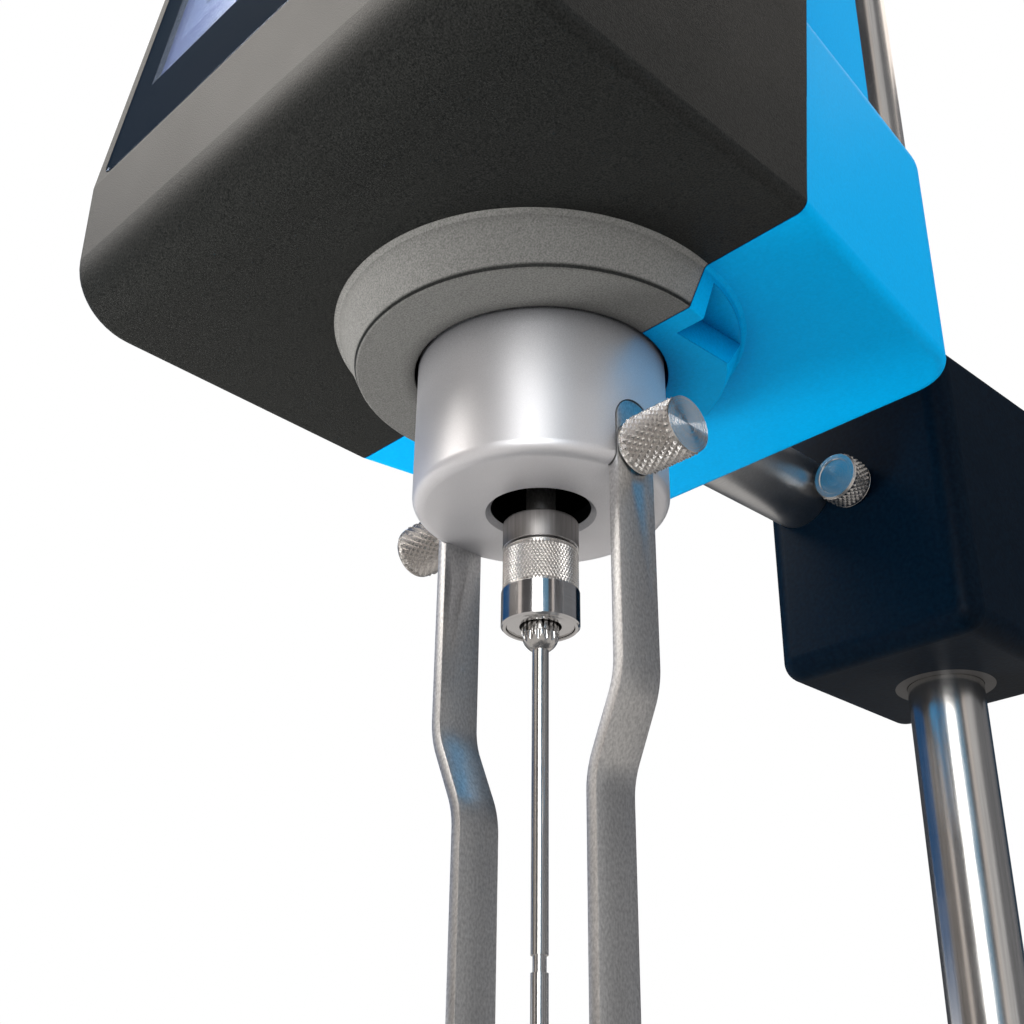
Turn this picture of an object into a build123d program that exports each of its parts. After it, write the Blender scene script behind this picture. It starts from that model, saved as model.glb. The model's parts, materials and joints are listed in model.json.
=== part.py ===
from build123d import *
from math import cos, pi, radians, sin, tan
import os

# A rotational viscometer on its column stand, in millimetres.
# +Z is up, -Y faces the person who reads the screen, and the origin is on the bench under the
# middle of the base. Heights in the head are measured from its underside at the spindle axis.
os.makedirs("parts", exist_ok=True)

# Fits. Every bore and recess below is the size of what it takes plus one of these.
RUN = 0.05
SLIP = 0.1
GAP = 0.3
SEAT = 0.2

# Stand, from the bench up.
BASE_WIDTH = 280.0
BASE_DEPTH = 300.0
BASE_HEIGHT = 22.0
BASE_SKIN = 8.0
BASE_RIM = 7.0
BASE_CORNER = 18.0
BASE_DRAFT = 4.0
RIB = 5.0
FOOT_INSET = 22.0
REAR_FOOT_INSET = 15.0
FOOT_DISC = 14.0
FOOT_DISC_HEIGHT = 6.0
FOOT_STUD = 4.0
PAD_RADIUS = 12.0
PAD_HEIGHT = 2.0
COLUMN_RADIUS = 10.0
COLUMN_LENGTH = 505.0
COLUMN_INSET = 45.0
COLUMN_BOSS = 18.0
CAP_HEIGHT = 6.0

# The clamp block that runs on the column and holds the rod of the head.
BLOCK_WIDTH = 59.0
BLOCK_AHEAD = 35.0
BLOCK_BEHIND = 24.0
BLOCK_BOTTOM = -38.0
BLOCK_TOP = 42.0
BLOCK_EDGE = 6.0
BLOCK_LOWER_EDGE = 5.5
BUSH_WALL = 3.0
BUSH_LIP = 2.0
AXES_APART = 152.0
ROD_RADIUS = 10.0
ROD_X = -17.0
ROD_Z = 14.0
ROD_DEPTH = 22.0
ROD_SPIGOT = 6.0
CLAMP_SCREW_Z = 10.0
CLAMP_SCREW_HEAD = 6.8
CLAMP_SCREW_HEAD_LENGTH = 8.0
CLAMP_SCREW = 4.0
ROD_SCREW_HEAD = 8.0
ROD_SCREW_HEAD_LENGTH = 11.0
ROD_SCREW = 3.0

# Head housing.
HEAD_Z = 285.0
HEAD_WIDTH = 135.0
HEAD_HEIGHT = 250.0
WALL = 3.0
SEAM_Y = 3.3
SEAM_LEAN = 7.6
SEAM_GAP = 0.15
CHIN_Y = -77.0
CHIN_TOP = 38.0
CHIN_ROUND = 15.0
BROW_ROUND = 12.0
FLOOR_RISE = 2.6
RIDGE_ROUND = 2.4
GLASS_LEAN = 8.0
BACK_Y = 75.0
BACK_TAPER = 8.5
SKIRT_HEIGHT = 61.0
SKIRT_ROUND = 7.0
BACK_ROUND = 12.0
HUMP_WIDTH = 92.0
HUMP_TOP = 20.0
HUMP_START = 24.0
HUMP_Y = 70.0
HUMP_ROUND = 8.0

# The boss under the head that the collar hangs from.
BOSS_HEIGHT = 8.6
BOSS_BASE = 43.1
BOSS_RIM = 39.4
BOSS_FILLET = 1.2
BOSS_EDGE = 0.6
BOSS_LAND = 5.5
NOTCH_X = 31.8
NOTCH_Y = 7.2
NOTCH_STEP = 1.5

# Collar, guard leg and its thumb screws.
COLLAR_RADIUS = 26.2
COLLAR_GAP = 0.8
COLLAR_LENGTH = 32.0
COLLAR_EDGE = 2.6
COLLAR_FLOOR = 4.0
COLLAR_BORE = 18.0
COLLAR_MOUTH = 10.2
MOUTH_CHAMFER = 1.1
FLANGE_RADIUS = 36.0
FLANGE = 4.0
STRIP_WIDTH = 10.0
STRIP = 2.5
STRIP_TOP = -25.5
STRIP_FACE = 26.0
JOG = 7.0
JOG_TOP = -83.0
JOG_BOTTOM = -99.0
JOG_BEND = 5.0
GUARD_BOTTOM = -218.0
GUARD_BEND = 9.0
THUMB_RADIUS = 6.0
THUMB_LENGTH = 13.0
THUMB_Z = -36.0
THUMB_EDGE = 0.6
THUMB_SHANK = 2.0
THUMB_REACH = 6.0

# Spindle line, from the coupling down.
COUPLING_TOP = -43.1
COUPLING_BOTTOM = -65.8
COUPLING_NECK = 5.8
COUPLING_RADIUS = 7.65
COUPLING_GROOVE = 0.3
RING_RADIUS = 7.8
RING_HEIGHT = 7.5
CORE_RADIUS = 6.7
HUB_RADIUS = 3.65
HUB_Z = -67.1
HUB_TEETH = 20
HUB_TOOTH_WIDE = 1.0
HUB_TOOTH_DEEP = 0.5
HUB_FLUTES = 14
HUB_FLUTE = 0.55
HUB_SHAFT_BITE = 0.7
HUB_STEM = 2.0
HUB_STEM_LENGTH = 12.0
SOCKET_RADIUS = 4.1
SOCKET_DEPTH = 3.9
SHAFT_RADIUS = 1.6
IMMERSION_Z = -129.0
IMMERSION_GROOVE = 3.0
IMMERSION_NECK = 1.25
DISC_RADIUS = 9.35
DISC_HEIGHT = 6.9
DISC_Z = -180.0
SPINDLE_TIP = -207.0

# Works inside the head.
PLATE = 4.0
PLATE_FRONT = -55.0
PLATE_BACK = 48.0
PLATE_WIDTH = 114.0
DRIVE_SHAFT = 3.0
BEARING_RADIUS = 8.0
BEARING_WIDTH = 5.0
HOUSING_RADIUS = 12.5
HOUSING_BOTTOM = -14.0
HOUSING_TOP = 30.0
HOUSING_FLANGE = 22.0
ENCODER_RADIUS = 26.0
ENCODER_THICK = 1.2
ENCODER_SLOTS = 36
ENCODER_SLOT = 3.0
ENCODER_LIFT = 4.4
CUP_RADIUS = 20.0
CUP_WALL = 2.0
CUP_DEPTH = 7.5
SPRING_HEIGHT = 3.0
SPRING_STRIP = 0.5
SPRING_TURNS = 3
SPRING_LIFT = 4.0
SHOULDER = 4.6
SHOULDER_HEIGHT = 1.5
SPRING_BOSS = 5.0
CUP_HUB = 7.0
PILLAR = 4.0
PILLAR_X = 34.0
PILLAR_Y = 30.0
PILLAR_LENGTH = 48.0
MOTOR_RADIUS = 21.0
MOTOR_LENGTH = 52.0
MOTOR_SHAFT = 2.5
MOTOR_PLATE = 3.0
BRACKET = 6.0
BRACKET_HEIGHT = 46.0
BRACKET_WIDTH = 76.0
BRACKET_Y = 60.0

# Screen, boards and sockets.
GLASS_WIDTH = 124.0
GLASS_HEIGHT = 198.0
GLASS = 1.8
GLASS_CORNER = 4.0
GLASS_LIP = 1.0
WINDOW_WIDTH = 106.0
WINDOW_HEIGHT = 142.0
WINDOW_LOW = 25.0
DISPLAY = 5.0
DISPLAY_MARGIN = 4.0
BOARD = 1.6
BOARD_BEHIND = 12.0
BOARD_WIDTH = 100.0
BOARD_HEIGHT = 120.0
CHIP = 24.0
CHIP_HEIGHT = 2.2
SOCKET_PLATE_WIDTH = 66.0
SOCKET_PLATE_HEIGHT = 100.0
SOCKET_PLATE = 2.0
SOCKET_PLATE_Z = 146.0
SOCKET_LIP = 4.0
LEVEL_RADIUS = 11.0
LEVEL_LIP = 1.5
LEVEL_INSET = 25.5
LEVEL_Y = -8.0

# Fasteners. The first value of each pair is the shank's radius and the second the head's.
SHELL_SCREW = 2.0
SHELL_SCREW_HEAD = 3.6
SHELL_SCREW_BITE = 10.0
SHELL_BOSS = 4.8
LOWER_SCREW_X = 46.0
LOWER_SCREW_Z = 26.0
UPPER_SCREW_X = 32.0
UPPER_SCREW_Z = 218.0
COLLAR_SCREW = 2.0
COLLAR_SCREW_CIRCLE = 30.0
BRACKET_SCREW_X = 26.0
BRACKET_SCREW_Y = 34.0
SMALL_SCREW = 1.5
HEAD_RATIO = 1.75

# Places that follow from the sizes above.
COLUMN_Y = BASE_DEPTH / 2 - COLUMN_INSET
FOOT_HEIGHT = PAD_HEIGHT + FOOT_DISC_HEIGHT + GAP
BASE_TOP = FOOT_HEIGHT + BASE_HEIGHT
COLUMN_FOOT = FOOT_HEIGHT + 3.0
SPINDLE_Y = COLUMN_Y - AXES_APART
HALF_WIDTH = HEAD_WIDTH / 2
LEVEL_X = HALF_WIDTH - LEVEL_INSET
HOLE_RADIUS = COLLAR_RADIUS + COLLAR_GAP
COLLAR_TOP = -BOSS_HEIGHT
COLLAR_END = COLLAR_TOP - COLLAR_LENGTH
FLANGE_TOP = BOSS_LAND + FLANGE
PLATE_TOP = FLANGE_TOP + PLATE
MOTOR_Z = PLATE_TOP + PILLAR_LENGTH + MOTOR_PLATE
STRIP_BACK = STRIP_FACE - STRIP
BUSH_RADIUS = COLUMN_RADIUS + SLIP + BUSH_WALL
BLOCK_FRONT = AXES_APART - BLOCK_AHEAD
BLOCK_BACK = AXES_APART + BLOCK_BEHIND
BLOCK_MID_Y = (BLOCK_FRONT + BLOCK_BACK) / 2
FOOT_SPOTS = {
    "front_left": (-BASE_WIDTH / 2 + FOOT_INSET, -BASE_DEPTH / 2 + FOOT_INSET),
    "front_right": (BASE_WIDTH / 2 - FOOT_INSET, -BASE_DEPTH / 2 + FOOT_INSET),
    "rear": (0, BASE_DEPTH / 2 - REAR_FOOT_INSET),
}

# Planes and axes of the head.
AXIS_PLANE = Plane(origin=(0, SPINDLE_Y, HEAD_Z))
FACING = Plane(origin=(0, SPINDLE_Y, HEAD_Z), x_dir=(1, 0, 0), z_dir=(0, -1, 0))
SIDE = Plane(origin=(0, SPINDLE_Y, HEAD_Z), x_dir=(0, 1, 0), z_dir=(1, 0, 0))
SPINDLE = Axis((0, SPINDLE_Y, HEAD_Z), (0, 0, 1))
LEAN = radians(SEAM_LEAN)
SEAM = Plane(
    origin=(0, SPINDLE_Y + SEAM_Y, HEAD_Z),
    x_dir=(-1, 0, 0),
    z_dir=(0, cos(LEAN), -sin(LEAN)),
)
TILT = radians(GLASS_LEAN)
GLASS_PLANE = Plane(
    origin=(0, SPINDLE_Y + CHIN_Y, HEAD_Z + CHIN_TOP),
    x_dir=(1, 0, 0),
    z_dir=(0, -cos(TILT), sin(TILT)),
)
REAR = Plane(
    origin=(0, SPINDLE_Y + HUMP_Y, HEAD_Z),
    x_dir=(-1, 0, 0),
    z_dir=(0, 1, 0),
)
SEAM_AXIS = Axis(SEAM.origin, SEAM.z_dir)
LOW = (Align.CENTER, Align.CENTER, Align.MIN)
HIGH = (Align.CENTER, Align.CENTER, Align.MAX)


def at(y, x=0.0, z=0.0):
    """A plane that faces the rear, at a depth behind the spindle axis."""
    return Plane(origin=(x, SPINDLE_Y + y, HEAD_Z + z), x_dir=(-1, 0, 0), z_dir=(0, 1, 0))


def turned(points, plane=FACING, axis=SPINDLE, mode=Mode.ADD):
    """Turn a closed outline of (radius, height) points about the spindle axis."""
    with BuildSketch(plane) as section:
        with BuildLine():
            Polyline(*points, close=True)
        make_face()
    revolve(section.sketch, axis=axis, mode=mode)


def ring(inner, outer, low, high, mode=Mode.ADD):
    """A plain ring about the spindle axis."""
    turned([(inner, low), (outer, low), (outer, high), (inner, high)], mode=mode)


def keep(piece, name):
    """Name a finished piece and write it out."""
    piece.part.label = name
    export_step(piece.part, f"parts/{name}.step")


def front_form(inset):
    """The front half of the housing, drawn in by inset and running on past the seam."""
    slope = tan(radians(FLOOR_RISE))
    beyond = HUMP_Y + WALL
    top_y = CHIN_Y + (HEAD_HEIGHT - CHIN_TOP) * tan(TILT)
    with BuildPart() as form:
        with BuildSketch(SIDE):
            with BuildLine():
                Polyline(
                    (beyond, (SEAM_Y - beyond) * slope),
                    (CHIN_Y, (SEAM_Y - CHIN_Y) * slope),
                    (CHIN_Y, CHIN_TOP),
                    (top_y, HEAD_HEIGHT),
                    (beyond, HEAD_HEIGHT),
                    close=True,
                )
            face = make_face()
            chin = face.vertices().group_by(Axis.X)[0].sort_by(Axis.Y)[0]
            brow = face.vertices().group_by(Axis.Y)[-1].sort_by(Axis.X)[0]
            fillet(chin, CHIN_ROUND)
            fillet(brow, BROW_ROUND)
            if inset > 0:
                offset(amount=-inset, mode=Mode.REPLACE)
        extrude(amount=HALF_WIDTH - inset, both=True)
        if RIDGE_ROUND > inset:
            sides = form.faces().filter_by(Axis.X)
            fillet(sides.edges(), RIDGE_ROUND - inset)
    return form.part


def rear_form(inset):
    """The rear half: a wide skirt below and a narrower hump that rises from the seam."""
    tail = HALF_WIDTH - (BACK_Y - SEAM_Y) * tan(radians(BACK_TAPER))
    with BuildPart() as form:
        with BuildSketch(AXIS_PLANE.offset(inset)):
            with BuildLine():
                Polyline(
                    (-HALF_WIDTH, -BACK_Y),
                    (HALF_WIDTH, -BACK_Y),
                    (HALF_WIDTH, SEAM_Y),
                    (tail, BACK_Y),
                    (-tail, BACK_Y),
                    (-HALF_WIDTH, SEAM_Y),
                    close=True,
                )
            face = make_face()
            fillet(face.vertices().group_by(Axis.Y)[-1], BACK_ROUND)
            if inset > 0:
                offset(amount=-inset, mode=Mode.REPLACE)
        extrude(amount=SKIRT_HEIGHT - 2 * inset)
        low_edges = form.faces().sort_by(Axis.Z)[0].edges()
        top_edges = form.faces().sort_by(Axis.Z)[-1].edges()
        fillet(top_edges, SKIRT_ROUND - inset)
        if RIDGE_ROUND > inset:
            fillet(low_edges, RIDGE_ROUND - inset)
    with BuildPart() as hump:
        middle = (HEAD_HEIGHT / 2) / cos(LEAN)
        tall = HEAD_HEIGHT / cos(LEAN) - 2 * inset
        with BuildSketch(SEAM):
            with Locations((0, middle)):
                RectangleRounded(HEAD_WIDTH - 2 * inset, tall, RIDGE_ROUND)
        with BuildSketch(SEAM.offset(HUMP_START)):
            with Locations((0, middle - HUMP_TOP / 2)):
                RectangleRounded(HUMP_WIDTH - 2 * inset, tall - HUMP_TOP, HUMP_ROUND - inset)
        loft()
        extrude(hump.faces().sort_by(SEAM_AXIS)[-1], amount=HUMP_Y)
        with Locations(at(HUMP_Y - inset)):
            Box(HEAD_WIDTH, 3 * HEAD_HEIGHT, HEAD_WIDTH, align=LOW, mode=Mode.SUBTRACT)
        with Locations(AXIS_PLANE.offset(SKIRT_HEIGHT / 2)):
            Box(2 * HEAD_WIDTH, 4 * BACK_Y, HEAD_WIDTH, align=HIGH, mode=Mode.SUBTRACT)
    return form.part + hump.part


def boss_and_hole(shell):
    """Add the boss to a shell, round its foot into the floor and bore it for the collar."""
    land_radius = BOSS_BASE + (BOSS_BASE - BOSS_RIM) * BOSS_LAND / BOSS_HEIGHT
    with BuildSketch(FACING) as section:
        with BuildLine():
            Polyline(
                (0, -BOSS_HEIGHT),
                (BOSS_RIM, -BOSS_HEIGHT),
                (land_radius, BOSS_LAND),
                (0, BOSS_LAND),
                close=True,
            )
        outline = make_face()
        rim = outline.vertices().group_by(Axis.Y)[0].sort_by(Axis.X)[-1]
        fillet(rim, BOSS_EDGE)
    revolve(section.sketch, axis=SPINDLE)
    foot = [
        edge
        for edge in shell.edges()
        if abs(edge.bounding_box().size.X - 2 * BOSS_BASE) < WALL
        and edge.center().Z < HEAD_Z + WALL / 2
        and edge.center().Z > HEAD_Z - BOSS_HEIGHT / 2
    ]
    fillet(foot, BOSS_FILLET)
    ring(0, HOLE_RADIUS, -2 * BOSS_HEIGHT, 2 * BOSS_LAND, mode=Mode.SUBTRACT)


def along_y(points, radius, start, end, mode=Mode.ADD):
    """Round bars or bores along Y at (x, z) points, from one depth to another."""
    with BuildSketch(at(start)) as section:
        with Locations([(-x, z) for x, z in points]):
            Circle(radius)
    extrude(section.sketch, amount=end - start, mode=mode)


LOWER_SCREWS = [(-LOWER_SCREW_X, LOWER_SCREW_Z), (LOWER_SCREW_X, LOWER_SCREW_Z)]
UPPER_SCREWS = [(-UPPER_SCREW_X, UPPER_SCREW_Z), (UPPER_SCREW_X, UPPER_SCREW_Z)]
LOWER_SEAM = SEAM_Y + LOWER_SCREW_Z * tan(LEAN)
UPPER_SEAM = SEAM_Y + UPPER_SCREW_Z * tan(LEAN)
UPPER_WALL = CHIN_Y + (UPPER_SCREW_Z - CHIN_TOP) * tan(TILT) + WALL

with BuildPart() as front_shell:
    add(front_form(0))
    add(front_form(WALL), mode=Mode.SUBTRACT)
    boss_and_hole(front_shell)
    along_y(LOWER_SCREWS, SHELL_BOSS, CHIN_Y + WALL / 2, BACK_Y)
    along_y(UPPER_SCREWS, SHELL_BOSS, UPPER_WALL, HUMP_Y)
    along_y(LOWER_SCREWS, SHELL_SCREW, LOWER_SEAM - SHELL_SCREW_BITE, BACK_Y, Mode.SUBTRACT)
    along_y(UPPER_SCREWS, SHELL_SCREW, UPPER_SEAM - SHELL_SCREW_BITE, BACK_Y, Mode.SUBTRACT)
    with BuildSketch(GLASS_PLANE):
        with Locations((0, GLASS_HEIGHT / 2 + GLASS_LIP)):
            RectangleRounded(GLASS_WIDTH + 2 * SEAT, GLASS_HEIGHT + 2 * SEAT, GLASS_CORNER)
    extrude(amount=-GLASS, mode=Mode.SUBTRACT)
    with BuildSketch(GLASS_PLANE):
        with Locations((0, WINDOW_LOW + WINDOW_HEIGHT / 2)):
            Rectangle(WINDOW_WIDTH, WINDOW_HEIGHT)
    extrude(amount=-2 * WALL, mode=Mode.SUBTRACT)
    with Locations(AXIS_PLANE * Location((LEVEL_X, LEVEL_Y, HEAD_HEIGHT + WALL))):
        Cylinder(LEVEL_RADIUS + SEAT, 3 * WALL, align=HIGH, mode=Mode.SUBTRACT)
    split(bisect_by=SEAM.offset(-SEAM_GAP / 2), keep=Keep.BOTTOM)
keep(front_shell, "front_shell")

with BuildPart() as rear_shell:
    add(rear_form(0))
    add(rear_form(WALL), mode=Mode.SUBTRACT)
    boss_and_hole(rear_shell)
    with BuildSketch(AXIS_PLANE.offset(-NOTCH_STEP)):
        with Locations((NOTCH_X, NOTCH_Y), (-NOTCH_X - BOSS_BASE, NOTCH_Y)):
            Rectangle(BOSS_BASE, 2 * BOSS_BASE, align=(Align.MIN, Align.MIN))
    extrude(amount=-2 * BOSS_HEIGHT, mode=Mode.SUBTRACT)
    along_y(LOWER_SCREWS, SHELL_BOSS, -BACK_Y, BACK_Y - WALL / 2)
    along_y(UPPER_SCREWS, SHELL_BOSS, -BACK_Y, HUMP_Y - WALL / 2)
    along_y(LOWER_SCREWS + UPPER_SCREWS, SHELL_SCREW + SEAT, -BACK_Y, 2 * BACK_Y, Mode.SUBTRACT)
    along_y(LOWER_SCREWS, SHELL_SCREW_HEAD + SEAT, BACK_Y - WALL, 2 * BACK_Y, Mode.SUBTRACT)
    along_y(UPPER_SCREWS, SHELL_SCREW_HEAD + SEAT, HUMP_Y - WALL, 2 * BACK_Y, Mode.SUBTRACT)
    along_y([(ROD_X, ROD_Z)], ROD_RADIUS + SEAT, BACK_Y - 2 * WALL, 2 * BACK_Y, Mode.SUBTRACT)
    with BuildSketch(REAR):
        with Locations((0, SOCKET_PLATE_Z)):
            RectangleRounded(
                SOCKET_PLATE_WIDTH - 2 * SOCKET_LIP,
                SOCKET_PLATE_HEIGHT - 2 * SOCKET_LIP,
                SOCKET_LIP,
            )
    extrude(amount=-2 * WALL, mode=Mode.SUBTRACT)
    split(bisect_by=SEAM.offset(SEAM_GAP / 2), keep=Keep.TOP)
keep(rear_shell, "rear_shell")

with BuildPart() as shell_screws:
    along_y(LOWER_SCREWS, SHELL_SCREW, LOWER_SEAM - SHELL_SCREW_BITE + 1, BACK_Y - WALL)
    along_y(LOWER_SCREWS, SHELL_SCREW_HEAD, BACK_Y - WALL, BACK_Y - SEAT)
    along_y(UPPER_SCREWS, SHELL_SCREW, UPPER_SEAM - SHELL_SCREW_BITE + 1, HUMP_Y - WALL)
    along_y(UPPER_SCREWS, SHELL_SCREW_HEAD, HUMP_Y - WALL, HUMP_Y - SEAT)
keep(shell_screws, "shell_screws")


# The screen: a cover glass flush in the front, the display behind its window and the main board.
def glass_offset(depth, low, width, height, thick, corner=0.0):
    """A sheet behind the glass plane, its lower edge at a height above the chin."""
    with BuildSketch(GLASS_PLANE.offset(-depth)) as sheet:
        with Locations((0, low + height / 2)):
            if corner > 0:
                RectangleRounded(width, height, corner)
            else:
                Rectangle(width, height)
    extrude(sheet.sketch, amount=-thick)


DISPLAY_WIDTH = WINDOW_WIDTH + 2 * DISPLAY_MARGIN
DISPLAY_HEIGHT = WINDOW_HEIGHT + 2 * DISPLAY_MARGIN
DISPLAY_LOW = WINDOW_LOW - DISPLAY_MARGIN
BOARD_LOW = DISPLAY_LOW + (DISPLAY_HEIGHT - BOARD_HEIGHT) / 2
BOARD_DEPTH = WALL + DISPLAY + BOARD_BEHIND

with BuildPart() as screen_glass:
    glass_offset(0, GLASS_LIP, GLASS_WIDTH, GLASS_HEIGHT, GLASS, GLASS_CORNER)
keep(screen_glass, "screen_glass")

with BuildPart() as display_panel:
    glass_offset(WALL, DISPLAY_LOW, DISPLAY_WIDTH, DISPLAY_HEIGHT, DISPLAY)
keep(display_panel, "display_panel")

with BuildPart() as board_standoffs:
    with BuildSketch(GLASS_PLANE.offset(-WALL - DISPLAY)):
        with Locations((0, BOARD_LOW + BOARD_HEIGHT / 2)):
            with GridLocations(BOARD_WIDTH - 4 * PILLAR, BOARD_HEIGHT - 4 * PILLAR, 2, 2):
                RegularPolygon(PILLAR * 0.8, 6)
    extrude(amount=-BOARD_BEHIND)
keep(board_standoffs, "board_standoffs")

with BuildPart() as main_board:
    glass_offset(BOARD_DEPTH, BOARD_LOW, BOARD_WIDTH, BOARD_HEIGHT, BOARD)
    with BuildSketch(GLASS_PLANE.offset(-BOARD_DEPTH - BOARD)):
        with Locations((-BOARD_WIDTH / 5, BOARD_LOW + BOARD_HEIGHT * 0.6)):
            Rectangle(CHIP, CHIP)
        with Locations((BOARD_WIDTH / 5, BOARD_LOW + BOARD_HEIGHT / 3)):
            Rectangle(CHIP * 0.75, CHIP / 2)
    extrude(amount=-CHIP_HEIGHT)
keep(main_board, "main_board")

# The collar hangs from its flange inside the shells and carries the guard leg.
NECK_RADIUS = HOUSING_RADIUS + SEAT
NECK_LOW = HOUSING_BOTTOM / 4

with BuildPart() as collar:
    turned(
        [
            (COLLAR_MOUTH, COLLAR_END),
            (COLLAR_RADIUS, COLLAR_END),
            (COLLAR_RADIUS, BOSS_LAND),
            (FLANGE_RADIUS, BOSS_LAND),
            (FLANGE_RADIUS, FLANGE_TOP),
            (NECK_RADIUS, FLANGE_TOP),
            (NECK_RADIUS, NECK_LOW),
            (COLLAR_BORE, NECK_LOW),
            (COLLAR_BORE, COLLAR_END + COLLAR_FLOOR),
            (COLLAR_MOUTH, COLLAR_END + COLLAR_FLOOR),
        ]
    )
    bottom_rings = collar.faces().sort_by(Axis.Z)[0].edges().sort_by(Edge.length)
    fillet(bottom_rings[-1], COLLAR_EDGE)
    chamfer(bottom_rings[0], MOUTH_CHAMFER)
    for side in (-1, 1):
        pocket = Plane(
            origin=(side * STRIP_BACK, SPINDLE_Y, HEAD_Z),
            x_dir=(0, side, 0),
            z_dir=(side, 0, 0),
        )
        reach = STRIP_WIDTH / 2 + SEAT
        with BuildSketch(pocket):
            with Locations((0, STRIP_TOP - reach + SEAT)):
                Circle(reach)
                Rectangle(2 * reach, COLLAR_LENGTH, align=(Align.CENTER, Align.MAX))
        extrude(amount=COLLAR_RADIUS, mode=Mode.SUBTRACT)
        with BuildSketch(pocket):
            with Locations((0, THUMB_Z)):
                Circle(THUMB_SHANK + RUN)
        extrude(amount=-COLLAR_BORE, mode=Mode.SUBTRACT)
    with BuildSketch(AXIS_PLANE.offset(FLANGE_TOP)):
        with PolarLocations(COLLAR_SCREW_CIRCLE, 4, start_angle=45):
            Circle(COLLAR_SCREW)
    extrude(amount=-FLANGE, mode=Mode.SUBTRACT)
keep(collar, "collar")

# The guard leg: one flat strip bent into a cranked U, its ends rounded over.
with BuildPart() as guard_leg:
    top = STRIP_FACE - STRIP / 2
    low = top - JOG
    with BuildSketch(FACING):
        with BuildLine():
            FilletPolyline(
                (top, STRIP_TOP),
                (top, JOG_TOP),
                (low, JOG_BOTTOM),
                (low, GUARD_BOTTOM + STRIP / 2),
                (-low, GUARD_BOTTOM + STRIP / 2),
                (-low, JOG_BOTTOM),
                (-top, JOG_TOP),
                (-top, STRIP_TOP),
                radius=(JOG_BEND, JOG_BEND, GUARD_BEND, GUARD_BEND, JOG_BEND, JOG_BEND),
            )
        trace(line_width=STRIP)
    extrude(amount=STRIP_WIDTH / 2, both=True)
    ends = guard_leg.edges().filter_by(Axis.X).group_by(Axis.Z)[-1]
    fillet(ends, STRIP_WIDTH / 2 - RUN)
    with BuildSketch(SIDE.offset(-HALF_WIDTH)):
        with Locations((0, THUMB_Z)):
            Circle(THUMB_SHANK + SEAT)
    extrude(amount=HEAD_WIDTH, mode=Mode.SUBTRACT)
keep(guard_leg, "guard_leg")

for side, name in ((-1, "guard_screw_left"), (1, "guard_screw_right")):
    seat = Plane(
        origin=(side * (STRIP_FACE + GAP), SPINDLE_Y, HEAD_Z + THUMB_Z),
        x_dir=(0, side, 0),
        z_dir=(side, 0, 0),
    )
    with BuildPart() as guard_screw:
        with BuildSketch(seat):
            Circle(THUMB_RADIUS)
        extrude(amount=THUMB_LENGTH)
        chamfer(guard_screw.edges(), THUMB_EDGE)
        with BuildSketch(seat):
            Circle(THUMB_SHANK)
        extrude(amount=-THUMB_REACH)
    keep(guard_screw, name)

# The spindle line. The motor turns the cup, the spiral spring drags the shaft round after it.
ENCODER_Z = HOUSING_TOP + ENCODER_LIFT
HUB_BASE = HOUSING_TOP + GAP
SPRING_Z = ENCODER_Z + ENCODER_THICK + SPRING_LIFT
SHAFT_TOP = SPRING_Z + SPRING_HEIGHT + SHOULDER_HEIGHT
CUP_TOP = SHAFT_TOP + GAP

with BuildPart() as drive_shaft:
    turned(
        [
            (0, COUPLING_TOP),
            (DRIVE_SHAFT, COUPLING_TOP),
            (DRIVE_SHAFT, HUB_BASE),
            (SHOULDER, HUB_BASE),
            (SHOULDER, HUB_BASE + SHOULDER_HEIGHT),
            (DRIVE_SHAFT, HUB_BASE + SHOULDER_HEIGHT),
            (DRIVE_SHAFT, SPRING_Z - SPRING_STRIP),
            (SPRING_BOSS, SPRING_Z - SPRING_STRIP),
            (SPRING_BOSS, SHAFT_TOP),
            (0, SHAFT_TOP),
        ]
    )
keep(drive_shaft, "drive_shaft")

with BuildPart() as encoder_disc:
    turned(
        [
            (DRIVE_SHAFT, HUB_BASE + SHOULDER_HEIGHT),
            (BEARING_RADIUS, HUB_BASE + SHOULDER_HEIGHT),
            (BEARING_RADIUS, ENCODER_Z),
            (ENCODER_RADIUS, ENCODER_Z),
            (ENCODER_RADIUS, ENCODER_Z + ENCODER_THICK),
            (DRIVE_SHAFT, ENCODER_Z + ENCODER_THICK),
        ]
    )
    with BuildSketch(AXIS_PLANE.offset(ENCODER_Z)):
        with PolarLocations(ENCODER_RADIUS - ENCODER_SLOT, ENCODER_SLOTS):
            Rectangle(ENCODER_SLOT, ENCODER_SLOT / 2)
    extrude(amount=ENCODER_THICK, mode=Mode.SUBTRACT)
keep(encoder_disc, "encoder_disc")

spring_inner = SPRING_BOSS + GAP + SPRING_STRIP / 2
spring_outer = CUP_RADIUS - CUP_WALL - SPRING_STRIP / 2
spring_step = (spring_outer - spring_inner) / (SPRING_TURNS * 12)
spiral = [
    (
        (spring_inner + spring_step * n) * cos(n * pi / 6),
        (spring_inner + spring_step * n) * sin(n * pi / 6),
    )
    for n in range(SPRING_TURNS * 12 + 1)
]
with BuildPart() as torsion_spring:
    with BuildSketch(AXIS_PLANE.offset(SPRING_Z)):
        with BuildLine():
            Spline(*spiral)
        trace(line_width=SPRING_STRIP)
    extrude(amount=SPRING_HEIGHT)
keep(torsion_spring, "torsion_spring")

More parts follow.
